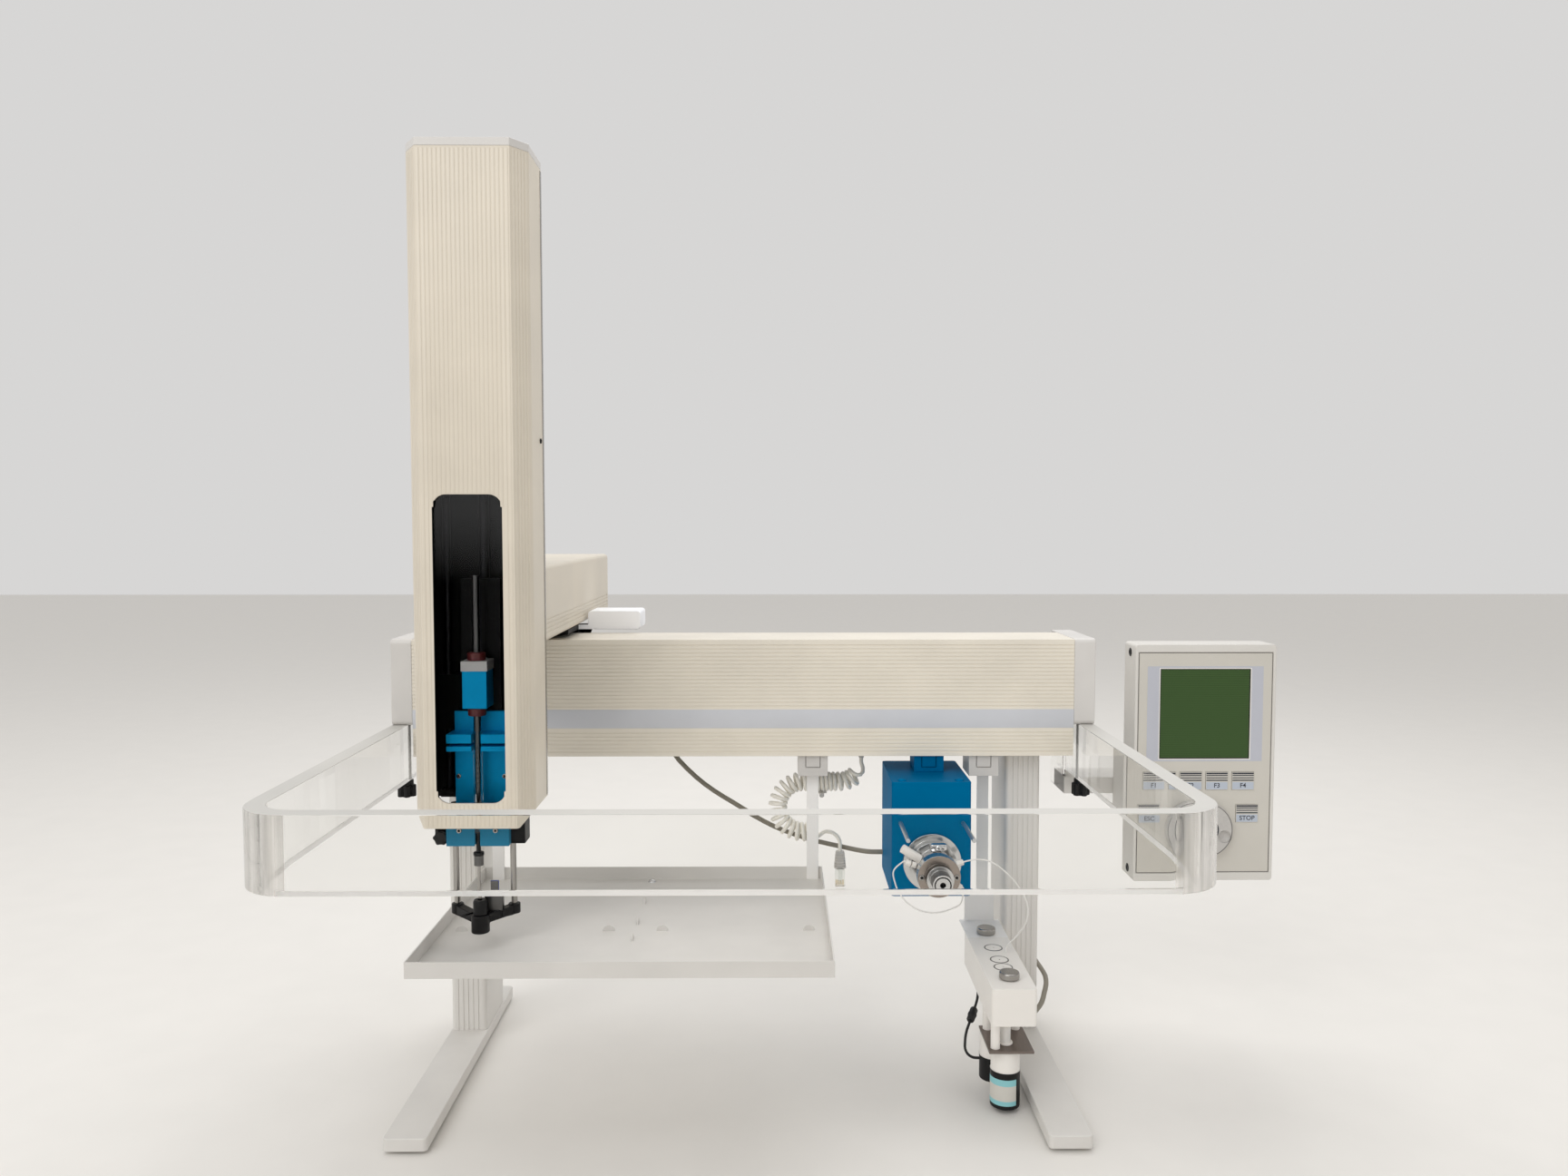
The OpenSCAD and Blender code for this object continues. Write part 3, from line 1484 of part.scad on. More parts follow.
function curl_point(i) =
    let (s = i * curl_step, at = line_at(s), a = 360 * i / rings_per_curl, r = curl_radius(s))
    [at[0][0] - r * sin(a) * at[1][1], cord_y + r * cos(a), at[0][1] + r * sin(a) * at[1][0]];

tail_z = cord_start_z - cord_turn_r - 2 * cord_bend_r;
tail_x = cord_plug_x - cord_turn_r - cord_run_1 + cord_run_2;
curl_points = [for (i = [1 : curl_count * rings_per_curl - 1]) curl_point(i)];
cord_points = concat(
    [for (d = [cord_tail, cord_tail / 2, 0]) [cord_plug_x, cord_y, cord_start_z + d]],
    curl_points,
    [for (a = [0 : tail_turn_step : 90])
        [tail_x + cord_tail_r * sin(a), cord_y, tail_z - cord_tail_r * (1 - cos(a))]],
    [for (d = [cord_tail / 2, cord_tail]) [tail_x + cord_tail_r, cord_y, tail_z - cord_tail_r - d]]);

// Least gap between one curl and the rest of the cord
curl_gap = min([for (i = [0 : len(curl_points) - 1], j = [i + rings_per_curl / 2 : 1 : len(curl_points) - 1])
    norm(curl_points[i] - curl_points[j])]) - curl_d;

module curly_cord() {
    echo(curls = curl_count, least_gap = curl_gap);
    color([0.87, 0.86, 0.8]) placed() tube(cord_points, curl_d, cord_sides, [0, 1, 0]);
}

module cord_plugs() {
    plug_x = tail_x + cord_tail_r;
    plug_z = tail_z - cord_tail_r - cord_tail;
    color([0.67, 0.65, 0.63]) placed() {
        block([cord_plug_x - plug_w / 2, cord_y - plug_t / 2, cord_start_z + cord_tail],
            [cord_plug_x + plug_w / 2, cord_y + plug_t / 2, rail_z]);
        block([plug_x - plug_w / 2, cord_y - plug_t / 2, plug_z - plug_l],
            [plug_x + plug_w / 2, cord_y + plug_t / 2, plug_z - boot_l]);
        bar_z([plug_x, cord_y, plug_z - boot_l], boot_l, plug_t / 2);
    }
}

feet();
columns();
foot_pads();
beam_rail();
beam_cover();
end_caps();
x_guide_rods();
x_drive();
x_carriage();
y_arm_cover();
tower_cover();
tower_cap();
tower_window();
tower_frame();
z_motor();
z_guide_rods();
z_screw();
head_block();
syringe_holder();
syringe_barrel();
needle();
plunger_block();
plunger_knob();
plunger_rod();
guide_foot();
guide_rods();
guard();
guard_knob(-1);  // guard_knob_left
guard_knob(1);  // guard_knob_right
tray();
tray_hangers();
rail_clamps();
valve_drive();
valve_stator();
valve_rotor();
valve_fittings();
sample_loop();
wash_bracket();
wash_block();
wash_nuts();
pump_plate();
wash_pumps();
pump_lead();
keypad_bracket();
keypad_shell();
keypad_panel();
keypad_screen();
key(function_xs[0], function_z);  // key_f1
key(function_xs[1], function_z);  // key_f2
key(function_xs[2], function_z);  // key_f3
key(function_xs[3], function_z);  // key_f4
key(-stop_x, stop_z);  // key_esc
key(stop_x, stop_z);  // key_stop
jog_wheel();
enter_button();
valve_cable();
wash_cable();
wash_tube();
curly_cord();
cord_plugs();
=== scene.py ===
# %% [markdown]
# # Dressing a bench-top autosampler
# The measured solids come in as a fixed frame: one object for each part, in its place, in metres. This
# lesson gives them soft edges, real finishes, the leads, and the small details that are too fine to be
# worth a solid. Nothing here moves or resizes a solid, because the joints depend on where the solids are.

# %% Load the frame
import json
import math

import bmesh
import bpy
from mathutils import Matrix, Vector

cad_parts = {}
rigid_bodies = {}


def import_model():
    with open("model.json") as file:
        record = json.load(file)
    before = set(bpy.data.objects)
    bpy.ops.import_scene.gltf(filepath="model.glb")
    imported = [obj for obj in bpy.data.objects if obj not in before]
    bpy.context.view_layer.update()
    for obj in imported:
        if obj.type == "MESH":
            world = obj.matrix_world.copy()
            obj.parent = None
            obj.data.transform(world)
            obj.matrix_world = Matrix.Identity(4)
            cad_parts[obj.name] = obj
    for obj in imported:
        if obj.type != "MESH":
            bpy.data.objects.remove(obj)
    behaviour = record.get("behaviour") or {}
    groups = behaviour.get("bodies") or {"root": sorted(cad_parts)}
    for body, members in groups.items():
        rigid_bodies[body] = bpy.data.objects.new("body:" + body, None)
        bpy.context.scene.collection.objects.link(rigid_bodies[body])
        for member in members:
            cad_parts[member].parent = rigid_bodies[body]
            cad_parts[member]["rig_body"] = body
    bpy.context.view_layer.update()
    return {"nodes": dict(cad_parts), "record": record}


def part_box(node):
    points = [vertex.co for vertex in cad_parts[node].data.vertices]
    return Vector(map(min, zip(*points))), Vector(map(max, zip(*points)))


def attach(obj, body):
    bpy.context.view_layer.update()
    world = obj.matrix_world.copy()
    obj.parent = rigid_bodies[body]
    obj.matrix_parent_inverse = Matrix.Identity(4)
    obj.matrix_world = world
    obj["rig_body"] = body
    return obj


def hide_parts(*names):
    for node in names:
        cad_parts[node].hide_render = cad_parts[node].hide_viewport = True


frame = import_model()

nodes = frame["nodes"]
slot_of = {part["node"]: part["material_slot"] for part in frame["record"]["subparts"]}
scene = bpy.context.scene

# %% [markdown]
# ## Measuring from the beam
# A fitter would measure this machine from the middle of the beam's front edge, in millimetres: X to the
# right, Y to the back, Z up from the bench. The frame is in metres about another origin, so one small
# function turns the fitter's numbers into places, and the beam's own solid says where its front edge is.

# %% Places in millimetres
MM = 0.001
beam_low, beam_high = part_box("beam_cover")
beam_front = Vector(((beam_low.x + beam_high.x) / 2, beam_low.y, 0))


def at(x, y, z):
    """A place measured from the middle of the beam's front edge, in millimetres."""
    return beam_front + MM * Vector((x, y, z))


def in_mm(place):
    """The other way round: a place in the frame as the fitter's millimetres."""
    return (place - beam_front) / MM


print("beam front middle", [round(c, 4) for c in beam_front])

# %% [markdown]
# ## The camera
# The picture was taken from a little over a metre in front, at half the tower's height, with a wide lens
# tipped slightly down. A camera's rotation starts looking straight down, so 86.8 degrees about X brings it
# almost level. An object shows only once it is linked to the scene, so a helper does both.

# %% Camera
def new_object(name, data):
    """An object of the data, linked to the scene."""
    made = bpy.data.objects.new(name, data)
    scene.collection.objects.link(made)
    return made


camera_data = bpy.data.cameras.new("camera")
camera_data.sensor_width = 36
camera_data.lens = 26.458
camera = new_object("camera", camera_data)
camera.location = at(35.85, -1346, 632)
camera.rotation_euler = (math.radians(86.8), 0, math.radians(-0.48))
scene.camera = camera
print("camera at", [round(c, 3) for c in camera.location])

# %% [markdown]
# ## Finishes from a few parts
# A finish is never one flat colour. Powder coat wanders between close shades and has a fine grain, drawn
# metal has lines along the way it was pulled, clear plastic has faint smudges. Each helper below adds one
# of these to a Principled shader. They all read Object coordinates, which stay on the piece when it moves.

# %% Shader helpers
def srgb(red, green, blue):
    """A colour as it is seen on a screen, 0 to 255, made linear for a shader."""
    def linear(c):
        c /= 255
        return c / 12.92 if c < 0.04 else ((c + 0.055) / 1.055) ** 2.4
    return (linear(red), linear(green), linear(blue), 1)


def set_inputs(node, values):
    """Sets a node's inputs by their names: a socket is linked, any other value is written in."""
    for name, value in values.items():
        if isinstance(value, bpy.types.NodeSocket):
            node.id_data.links.new(value, node.inputs[name])
        else:
            node.inputs[name].default_value = value


def add_node(tree, kind, values):
    """A new shader node with its inputs set."""
    node = tree.nodes.new("ShaderNode" + kind)
    set_inputs(node, values)
    return node


def tint(colour, amount):
    """The same colour a little lighter or darker."""
    return (*(min(1, c * amount) for c in colour[:3]), 1)


def new_finish(name, colour, rough, metal=0.0):
    """A material with its plain values set: the material, its node tree and its shader."""
    material = bpy.data.materials.new(name)
    material.use_nodes = True
    shader = material.node_tree.nodes["Principled BSDF"]
    set_inputs(shader, {"Base Color": colour, "Roughness": rough, "Metallic": metal})
    return material, material.node_tree, shader


def object_coords(tree):
    """Coordinates that stay on the piece when it moves."""
    return add_node(tree, "TexCoord", {}).outputs["Object"]


def mottle(tree, per_metre, detail=3.0, stretch=(1, 1, 1)):
    """Soft random blotches, so many to a metre, pulled out along an axis by a small stretch."""
    mapping = add_node(tree, "Mapping", {"Vector": object_coords(tree), "Scale": stretch})
    vector = mapping.outputs["Vector"]
    noise = add_node(tree, "TexNoise", {"Vector": vector, "Scale": per_metre, "Detail": detail})
    return noise.outputs["Fac"]


def wander(tree, shader, pattern, dark, light):
    """The colour wanders between two close shades."""
    ramp = add_node(tree, "ValToRGB", {"Fac": pattern})
    for stop, position, colour in zip(ramp.color_ramp.elements, (0.3, 0.7), (dark, light)):
        stop.position = position
        stop.color = colour
    set_inputs(shader, {"Base Color": ramp.outputs["Color"]})


def uneven_gloss(tree, shader, pattern, low, high):
    """The roughness varies between two values."""
    spread = add_node(tree, "MapRange", {"Value": pattern, "To Min": low, "To Max": high})
    set_inputs(shader, {"Roughness": spread.outputs["Result"]})


def grain(tree, shader, pattern, strength, height):
    """A fine relief, height in millimetres, that only the light shows."""
    bump = add_node(tree, "Bump", {"Height": pattern, "Strength": strength, "Distance": height * MM})
    set_inputs(shader, {"Normal": bump.outputs["Normal"]})


print("shader helpers ready")

# %% [markdown]
# ## Paint, plastic and rubber
# The covers are powder coated and the caps, clamps and knobs are moulded. Both have one colour with a slow
# drift of shade and a fine orange-peel grain, so one function makes them all, and the numbers say which is
# glossier and which is coarser.

# %% Coated and moulded finishes
def coated(name, colour, rough=0.42, grains=1300, relief=0.25, drift=0.035, metal=0.0, shine=0.5,
           painted_glow=0.0):
    """Powder coat, moulded plastic, rubber or dyed metal: drifting shade under a fine grain. The last value
    is a painted glow, light the surface gives off in its own colour.
    """
    material, tree, shader = new_finish(name, colour, rough, metal)
    set_inputs(shader, {"Specular IOR Level": shine, "Emission Color": colour, "Emission Strength": painted_glow})
    cloud = mottle(tree, 16)
    wander(tree, shader, cloud, tint(colour, 1 - drift), tint(colour, 1 + drift))
    uneven_gloss(tree, shader, cloud, rough - 0.06, rough + 0.06)
    grain(tree, shader, mottle(tree, grains, 2), relief, 0.05)
    return material


def add_finishes(make, table):
    """A finish of each row: its name, its colour on a screen, and the maker's other values in order."""
    for name, (shade, *rest) in table.items():
        finish[name] = make(name, srgb(*shade), *rest)


finish = {}
add_finishes(coated, {
    "beige_paint": ((219, 210, 194), 0.4),
    # a lighter copy of the beige: painted light on the beam's ribbed cover
    "beam_paint": ((231, 224, 210), 0.4),
    "grey_paint": ((219, 216, 211), 0.42),
    "cap_plastic": ((214, 211, 207), 0.38, 900),
    "pad_rubber": ((32, 32, 33), 0.8, 700, 0.5, 0.12),
    "black_plastic": ((11, 11, 12), 0.42, 900, 0.3, 0.15, 0.0, 0.3),
    "maroon_plastic": ((112, 46, 46), 0.3, 900, 0.15, 0.08),
    "white_plastic": ((240, 236, 230), 0.36, 1000, 0.15, 0.02),
    # a lighter white than the tray's own paint: painted light on the tray's hangers and the wash bracket,
    # which stand in shade
    "bright_white": ((246, 244, 241), 0.4, 1000, 0.15, 0.015),
    # a lighter white with a painted glow: painted light on the box in the arm's shade
    "box_white": ((250, 251, 255), 0.4, 1000, 0.15, 0.015, 0.0, 0.5, 0.08),
    "clamp_plastic": ((203, 200, 196), 0.38, 1000, 0.15, 0.025),
    "drive_black": ((26, 26, 28), 0.45, 900, 0.3, 0.12),
    "keypad_plastic": ((217, 214, 208), 0.45, 1500, 0.4, 0.02),
    "panel_film": ((205, 201, 192), 0.5, 2200, 0.3, 0.02),
    "key_film": ((207, 204, 196), 0.45, 2200, 0.3, 0.02),
    "jog_plastic": ((192, 189, 185), 0.28, 1300, 0.2, 0.03),
    "cable_grey": ((138, 132, 119), 0.55, 800, 0.25, 0.06),
    # lighter than the cord's own ivory: painted light for the shade under the beam
    "cord_ivory": ((250, 246, 236), 0.42, 900, 0.2, 0.03),
    "lead_black": ((22, 22, 23), 0.5, 800, 0.25, 0.12),
    "plug_plastic": ((205, 201, 195), 0.45, 900, 0.25, 0.04),
    "band_paint": ((205, 207, 212), 0.36, 1300, 0.2, 0.025),
    "lilac_print": ((189, 191, 200), 0.45, 2200, 0.2, 0.015),
    "label_print": ((184, 192, 204), 0.5, 2200, 0.2, 0.03),
    "ink": ((44, 47, 56), 0.55, 2200, 0.2, 0.1),
    "ring_grey": ((112, 109, 105), 0.5, 1500, 0.2, 0.04),
    "teal_label": ((140, 200, 205), 0.5, 1800, 0.2, 0.04),
    "milky_tube": ((234, 232, 228), 0.3, 900, 0.1, 0.02),
    "lever_blue": ((36, 68, 152), 0.4, 1000, 0.2, 0.06),
    # near black: painted shade on the inside faces of the tower's cover
    "dark_inside": ((5, 5, 6), 0.7, 600, 0.3, 0.2, 0.0, 0.1),
})
print(len(finish), "coated and moulded finishes")

# %% [markdown]
# ## Metals
# Drawn rods and rolled sheet carry fine lines along one axis. Stretching the noise forty times across that
# axis gives such lines at any zoom. Anodised parts are dyed metal: a coloured, partly metallic surface.

# %% Metal finishes
def drawn(name, colour, rough, along, vary=0.1, metal=1.0, per_metre=30):
    """Metal, or another stuff, with fine lines along one axis."""
    material, tree, shader = new_finish(name, colour, rough, metal)
    stretch = [1 if axis == along else 40 for axis in "XYZ"]
    lines = mottle(tree, per_metre, 4, stretch)
    wander(tree, shader, lines, tint(colour, 1 - vary), tint(colour, 1 + vary))
    uneven_gloss(tree, shader, lines, rough - 0.08, rough + 0.08)
    grain(tree, shader, lines, 0.15, 0.02)
    return material


add_finishes(coated, {
    "dark_aluminium": ((12, 12, 13), 0.42, 1100, 0.25, 0.15, 0.0, 0.15),
    "blue_aluminium": ((0, 105, 153), 0.45, 1500, 0.12, 0.07, 0.3, 0.0),
    # a lighter blue with a little painted glow: painted light on the holder and plunger block in the tower's
    # shade
    "holder_blue": ((2, 172, 232), 0.4, 1500, 0.12, 0.07, 0.3, 0.1),
    "lip_blue": ((48, 124, 157), 0.45, 1500, 0.12, 0.07, 0.3, 0.0),
})
add_finishes(drawn, {
    "rail_aluminium": ((200, 202, 204), 0.38, "X", 0.05),
    "steel": ((164, 161, 157), 0.22, "Z", 0.06),
    "plate_steel": ((128, 118, 112), 0.34, "Y", 0.1),
    "turned_steel": ((206, 206, 205), 0.2, "Y", 0.06),
    "stator_steel": ((158, 148, 140), 0.24, "Y", 0.08),
    "latch_steel": ((104, 103, 102), 0.34, "Z", 0.08),
    "shaded_steel": ((44, 44, 46), 0.4, "Z", 0.1),
    "chrome": ((214, 214, 214), 0.09, "Z", 0.03),
    "gold": ((214, 176, 92), 0.25, "Z", 0.05),
})
print("metals:", [name for name in finish if "steel" in name or "aluminium" in name])

# %% [markdown]
# ## Clear finishes and the screen
# The guard is polished acrylic whose cut edges are milled and frosted, so they look white. The lower edge
# takes a painted glow, a little light of its own in place of the light that runs along inside the sheet and
# comes out there. Its bent corners carry pale upright streaks, painted highlights in place of the light the
# bends throw. The tower's window is almost clear: it looks black because the tower's inside is dark, its
# inside faces carrying a painted shade. Its top mirrors the room more than the rest, a painted reflection.
# Glass needs real thickness, and the solids have it, so light bends in them as it should.

# %% Clear finishes
def clear(name, colour, rough, bend, smudge, mirror=1.0):
    """See-through plastic or glass: smudges show only as a little uneven gloss."""
    material, tree, shader = new_finish(name, colour, rough)
    set_inputs(shader, {"Transmission Weight": 1, "IOR": bend, "Specular Tint": (mirror, mirror, mirror, 1)})
    cloud = mottle(tree, 22, 4)
    wander(tree, shader, cloud, tint(colour, 0.985), colour)
    uneven_gloss(tree, shader, cloud, rough, rough + smudge)
    return material


def lit_screen(name, colour, pitch):
    """A dark liquid-crystal pane: rows of dots, pitch millimetres apart, under a glossy front."""
    material, tree, shader = new_finish(name, colour, 0.2)
    set_inputs(shader, {"Specular IOR Level": 0.2})
    scale = 1 / (pitch * MM * math.tau)
    rows = add_node(tree, "TexWave", {"Vector": object_coords(tree), "Scale": scale, "Distortion": 0.4})
    rows.bands_direction = "Z"
    wander(tree, shader, rows.outputs["Fac"], tint(colour, 0.8), tint(colour, 1.15))
    uneven_gloss(tree, shader, mottle(tree, 30), 0.14, 0.24)
    return material


add_finishes(clear, {
    "clear_acrylic": ((251, 251, 250), 0.0, 1.2, 0.02, 0.3),
    "smoked_pane": ((240, 241, 242), 0.02, 1.4, 0.03),
    "syringe_glass": ((244, 250, 250), 0.01, 1.4, 0.03),
    "clear_tube": ((240, 242, 240), 0.08, 1.3, 0.06),
})
add_finishes(coated, {
    "frosted_edge": ((207, 205, 200), 0.5, 500, 0.3, 0.02),
    # a painted glow on the guard's lower edges
    "bright_edge": ((228, 225, 221), 0.4, 500, 0.3, 0.02, 0.0, 0.5, 0.3),
})
# pale upright streaks: painted highlights on the guard's bent corners
add_finishes(drawn, {"bent_acrylic": ((226, 224, 220), 0.1, "Z", 0.3, 0, 4)})
add_finishes(lit_screen, {"screen": ((60, 85, 45), 1.1)})
bent = finish["bent_acrylic"].node_tree.nodes["Principled BSDF"]
set_inputs(bent, {"Transmission Weight": 0.7, "IOR": 1.2})


def painted_reflection_above(material, low, high, least, most):
    """A painted reflection: the mirror of a pane grows from one height to another, given in millimetres."""
    tree = material.node_tree
    height = add_node(tree, "SeparateXYZ", {"Vector": object_coords(tree)}).outputs["Z"]
    fade = add_node(tree, "MapRange", {"Value": height, "From Min": low * MM, "From Max": high * MM,
                                       "To Min": least, "To Max": most})
    set_inputs(tree.nodes["Principled BSDF"], {"Specular Tint": fade.outputs["Result"]})


# The window's top mirrors the room more than the rest: a painted reflection.
painted_reflection_above(finish["smoked_pane"], 575, 645, 0, 0.85)
print("clear finishes and screen ready")

# %% [markdown]
# ## Floor and light
# A plain pale floor and broad soft lights, as in a product photo: one large lamp from the upper left
# front, a weaker one from the right, one from above and behind, and a pale sky all round that fills the
# shadows.

# %% Floor and light
floor_bm = bmesh.new()
bmesh.ops.create_grid(floor_bm, x_segments=8, y_segments=8, size=9)
bmesh.ops.translate(floor_bm, verts=floor_bm.verts, vec=(0, 0, -0.2 * MM))
floor_mesh = bpy.data.meshes.new("floor")
floor_bm.to_mesh(floor_mesh)
floor_bm.free()
floor_mesh.materials.append(coated("floor_paint", srgb(232, 229, 224), 0.6, 300, 0.1, 0.01))
floor = new_object("floor", floor_mesh)
LAMP_AIM = Vector((0, 0, 0.4))


def soft_light(name, place, size, watts):
    """A square lamp with a broad soft face, turned to the middle of the machine."""
    lamp_data = bpy.data.lights.new(name, "AREA")
    lamp_data.size = size
    lamp_data.energy = watts
    lamp = new_object(name, lamp_data)
    lamp.location = place
    lamp.rotation_euler = (LAMP_AIM - Vector(place)).to_track_quat("-Z", "Y").to_euler()


soft_light("key_light", (-2.2, -3.2, 3.2), 3, 73)
soft_light("fill_light", (3, -2.6, 2.2), 2.4, 4)
soft_light("top_light", (0.2, 1.1, 2.6), 2, 28)
sky = bpy.data.worlds.new("sky")
sky.use_nodes = True
set_inputs(sky.node_tree.nodes["Background"], {"Color": srgb(236, 235, 234), "Strength": 0.81})
scene.world = sky
scene.view_settings.view_transform = "Standard"
print("floor, three lamps and sky")

# %% [markdown]
# ## Cords as single smooth lines
# A lead is a curve with one open line and a round bevel, so its length can be measured along the line. The
# points are the route a fitter would choose, and a Catmull-Rom line through them takes the corners off.

# %% A lead along a route
def smooth_route(places, steps):
    """Points on a smooth line through the places, so many steps from each to the next."""
    padded = [places[0], *places, places[-1]]
    route = []
    for before, here, there, after in zip(padded, padded[1:], padded[2:], padded[3:]):
        for step in range(steps):
            t = step / steps
            bend = 2 * before - 5 * here + 4 * there - after
            twist = 3 * (here - there) + after - before
            route.append((2 * here + (there - before) * t + bend * t**2 + twist * t**3) / 2)
    return [*route, places[-1]]


def tube(name, route, thickness, material, body):
    """A round tube along a route, as a curve of one open line."""
    curve = bpy.data.curves.new(name, "CURVE")
    curve.dimensions = "3D"
    curve.bevel_depth = thickness * MM / 2
    curve.bevel_resolution = 4
    curve.use_fill_caps = True
    line = curve.splines.new("POLY")
    line.points.add(len(route) - 1)
    for point, place in zip(line.points, route):
        point.co = (*place, 1)
    curve.materials.append(material)
    piece = new_object(name, curve)
    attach(piece, body)
    return piece


def lead(name, node, route, thickness, look=None):
    """A cord that takes the place of its solid."""
    slot = slot_of[node]
    piece = tube(name, route, thickness, finish[look or slot], "stand")
    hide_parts(node)


print("lead helpers ready")

# %% [markdown]
# ## The two grey cables and the thin tube
# One cable leaves the beam's underside on the left, hangs slack behind the tray and goes into the valve's
# left side. The other comes out of the rail's back, drops behind the right leg and comes forward to the
# rear pump. A thin milky tube swings from the valve to the wash block and holds its own curve, being stiff
# for its size.

# %% Cables and tube
CABLE_D, TUBE_D = 6, 1.6
valve_cable_points = [
    (-92, 86, 362), (-92, 86, 350), (-84, 86, 336), (-62, 86, 314), (-40, 86, 297), (-16, 86, 282),
    (10, 86, 266), (36, 86, 252), (62, 85, 242), (90, 83, 234), (118, 78, 229), (138, 69, 227),
    (150, 62, 227), (159, 60, 227), (169.5, 60, 227)]
wash_cable_points = [
    (336, 118, 372), (336.5, 139.2, 370.4), (337.7, 157, 359), (339.2, 165.9, 339.9),
    (340.6, 165.4, 318.6), (342.1, 163.9, 297.3), (343.5, 162.5, 276), (344.9, 161.1, 254.7),
    (346.4, 159.6, 233.4), (347.8, 158.2, 212.1), (349.3, 156.7, 190.8), (351.7, 155, 169.6),
    (355.1, 153, 148.6), (358.6, 151, 127.6), (362, 148, 106.7), (365.6, 137.6, 88.6),
    (368.5, 120.2, 76.7), (370.4, 99.3, 73.1), (372, 78, 71.8), (372.7, 56.7, 70.3),
    (369, 35.8, 68), (362, 15.8, 65.1), (354.5, -4.1, 62.4), (343.7, -22.4, 60.6),
    (330.2, -39, 59.6), (316.4, -55.4, 58.7), (302.7, -71.7, 57.9), (288.9, -88.1, 57)]
wash_tube_points = [
    (245.8, -84, 256.8), (251, -84, 258.3), (262, -84, 259.7), (275, -84, 257.6), (290, -85, 248),
    (306, -84, 231), (318, -81, 209), (319, -76, 186), (310, -68, 166), (302, -62, 155), (300, -60, 149),
    (300, -60, 144)]
lead("valve_lead", "valve_cable", smooth_route([at(*p) for p in valve_cable_points], 2), CABLE_D)
lead("wash_lead", "wash_cable", smooth_route([at(*p) for p in wash_cable_points], 2), CABLE_D)
lead("wash_hose", "wash_tube", smooth_route([at(*p) for p in wash_tube_points], 3), TUBE_D,
     look="milky_tube")

# %% [markdown]
# ## Making pieces from operators
# New pieces start in a bmesh, Blender's editable mesh, from a block or a spun profile. A block is a cube
# that is scaled and has its edges bevelled. A turned part is a line of points spun round an axis, then its
# seam is merged and its faces are turned outwards. At the end one function makes the object and lets it
# ride its body.

# %% Blocks, turned parts and pieces
CREASE = math.radians(30)
UP, FRONT, BACK = (0, 0, 1), (0, -1, 0), (0, 1, 0)


def add_piece(name, bm, body, slot, *looks, edge=0.0):
    """A piece of a bmesh on its body: looks are its finishes, or else its slot's; edge rounds it, in mm."""
    mesh = bpy.data.meshes.new(name)
    bm.to_mesh(mesh)
    bm.free()
    for look in looks or [slot]:
        mesh.materials.append(finish[look])
    mesh.polygons.foreach_set("use_smooth", [True] * len(mesh.polygons))
    piece = new_object(name, mesh)
    if edge:
        rounding = piece.modifiers.new("rounding", "BEVEL")
        rounding.width = edge * MM
        rounding.segments = 2
        rounding.limit_method = "ANGLE"
        rounding.angle_limit = CREASE
        rounding.use_clamp_overlap = False
        rounding.harden_normals = True
    else:
        mesh.set_sharp_from_angle(angle=CREASE)
    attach(piece, body)
    return piece


def each_once(things):
    """The things without repeats, in the same order in each run, which a set wouldn't keep."""
    return list(dict.fromkeys(things))


def add_block(bm, low, high, edge=0.0, look=0):
    """A block between two corners, its edges rounded by edge millimetres."""
    size = high - low
    place = Matrix.Translation((low + high) / 2) @ Matrix.Diagonal((*size, 1))
    corners = bmesh.ops.create_cube(bm, size=1, matrix=place)["verts"]
    for face in each_once(face for corner in corners for face in corner.link_faces):
        face.material_index = look
    if edge:
        edges = each_once(side for corner in corners for side in corner.link_edges)
        bmesh.ops.bevel(bm, geom=edges, offset=edge * MM, offset_type="OFFSET", segments=2, profile=0.5,
                        affect="EDGES", material=-1)


def add_turned(bm, profile, centre, axis, steps=24, look=0, sweep=360, start=(1, 0, 0)):
    """Spins a profile of (radius, height) pairs in millimetres round an axis through the centre."""
    up = Vector(axis).normalized()
    out = Vector(start)
    out = (out - out.dot(up) * up).normalized()
    points = [bm.verts.new(centre + MM * (r * out + h * up)) for r, h in profile]
    lines = [bm.edges.new(pair) for pair in zip(points, points[1:])]
    old_faces = set(bm.faces)
    bmesh.ops.spin(bm, geom=points + lines, cent=centre, axis=up, angle=math.radians(sweep), steps=steps,
                   use_merge=sweep == 360)
    made = [face for face in bm.faces if face not in old_faces]
    for face in made:
        face.material_index = look
    spun = each_once(corner for face in made for corner in face.verts)
    bmesh.ops.remove_doubles(bm, verts=spun, dist=MM / 1000)
    bmesh.ops.recalc_face_normals(bm, faces=[face for face in bm.faces if face not in old_faces])


print("piece helpers ready")

# %% [markdown]
# ## Small screws
# Socket screws hold nearly everything here. A screw's head is a turned part: up the side, over a rounded
# rim, and down into the socket. The socket's faces take a darker finish, since little light gets in.

# %% A screw head
def add_screw(bm, place, out, radius, height, look=0, socket_look=1):
    """A socket screw's head on a surface, its axis along out."""
    start = Vector(out).orthogonal()
    rim = [(radius, 0), (radius, 0.6 * height), (0.93 * radius, 0.88 * height), (0.75 * radius, height)]
    add_turned(bm, [(0, 0), *rim, (0.5 * radius, height)], place, out, 18, look, start=start)
    socket = [(0.5 * radius, height), (0.5 * radius, 0.35 * height), (0, 0.35 * height)]
    add_turned(bm, socket, place, out, 18, socket_look, start=start)


def add_dome(bm, place, out, radius, height, look=0):
    """A smooth domed head, as on a button screw or a cap nut."""
    arc = [(radius * math.cos(a), height * math.sin(a)) for a in (math.radians(15 * i) for i in range(7))]
    add_turned(bm, [(0, 0), *arc], place, out, 24, look, start=Vector(out).orthogonal())


print("screw helpers ready")

# %% [markdown]
# ## The curly cord and its plugs
# The ivory cord of the keypad is wound into tight curls. Its middle line runs down from a socket in the
# rail, to the left, round a wide turn and back to the right, and the cord winds round that line. The
# radius grows over the first curls and shrinks over the last ones, which are drawn out, so the cord has no
# kink there and its ends come out straight into the plugs.

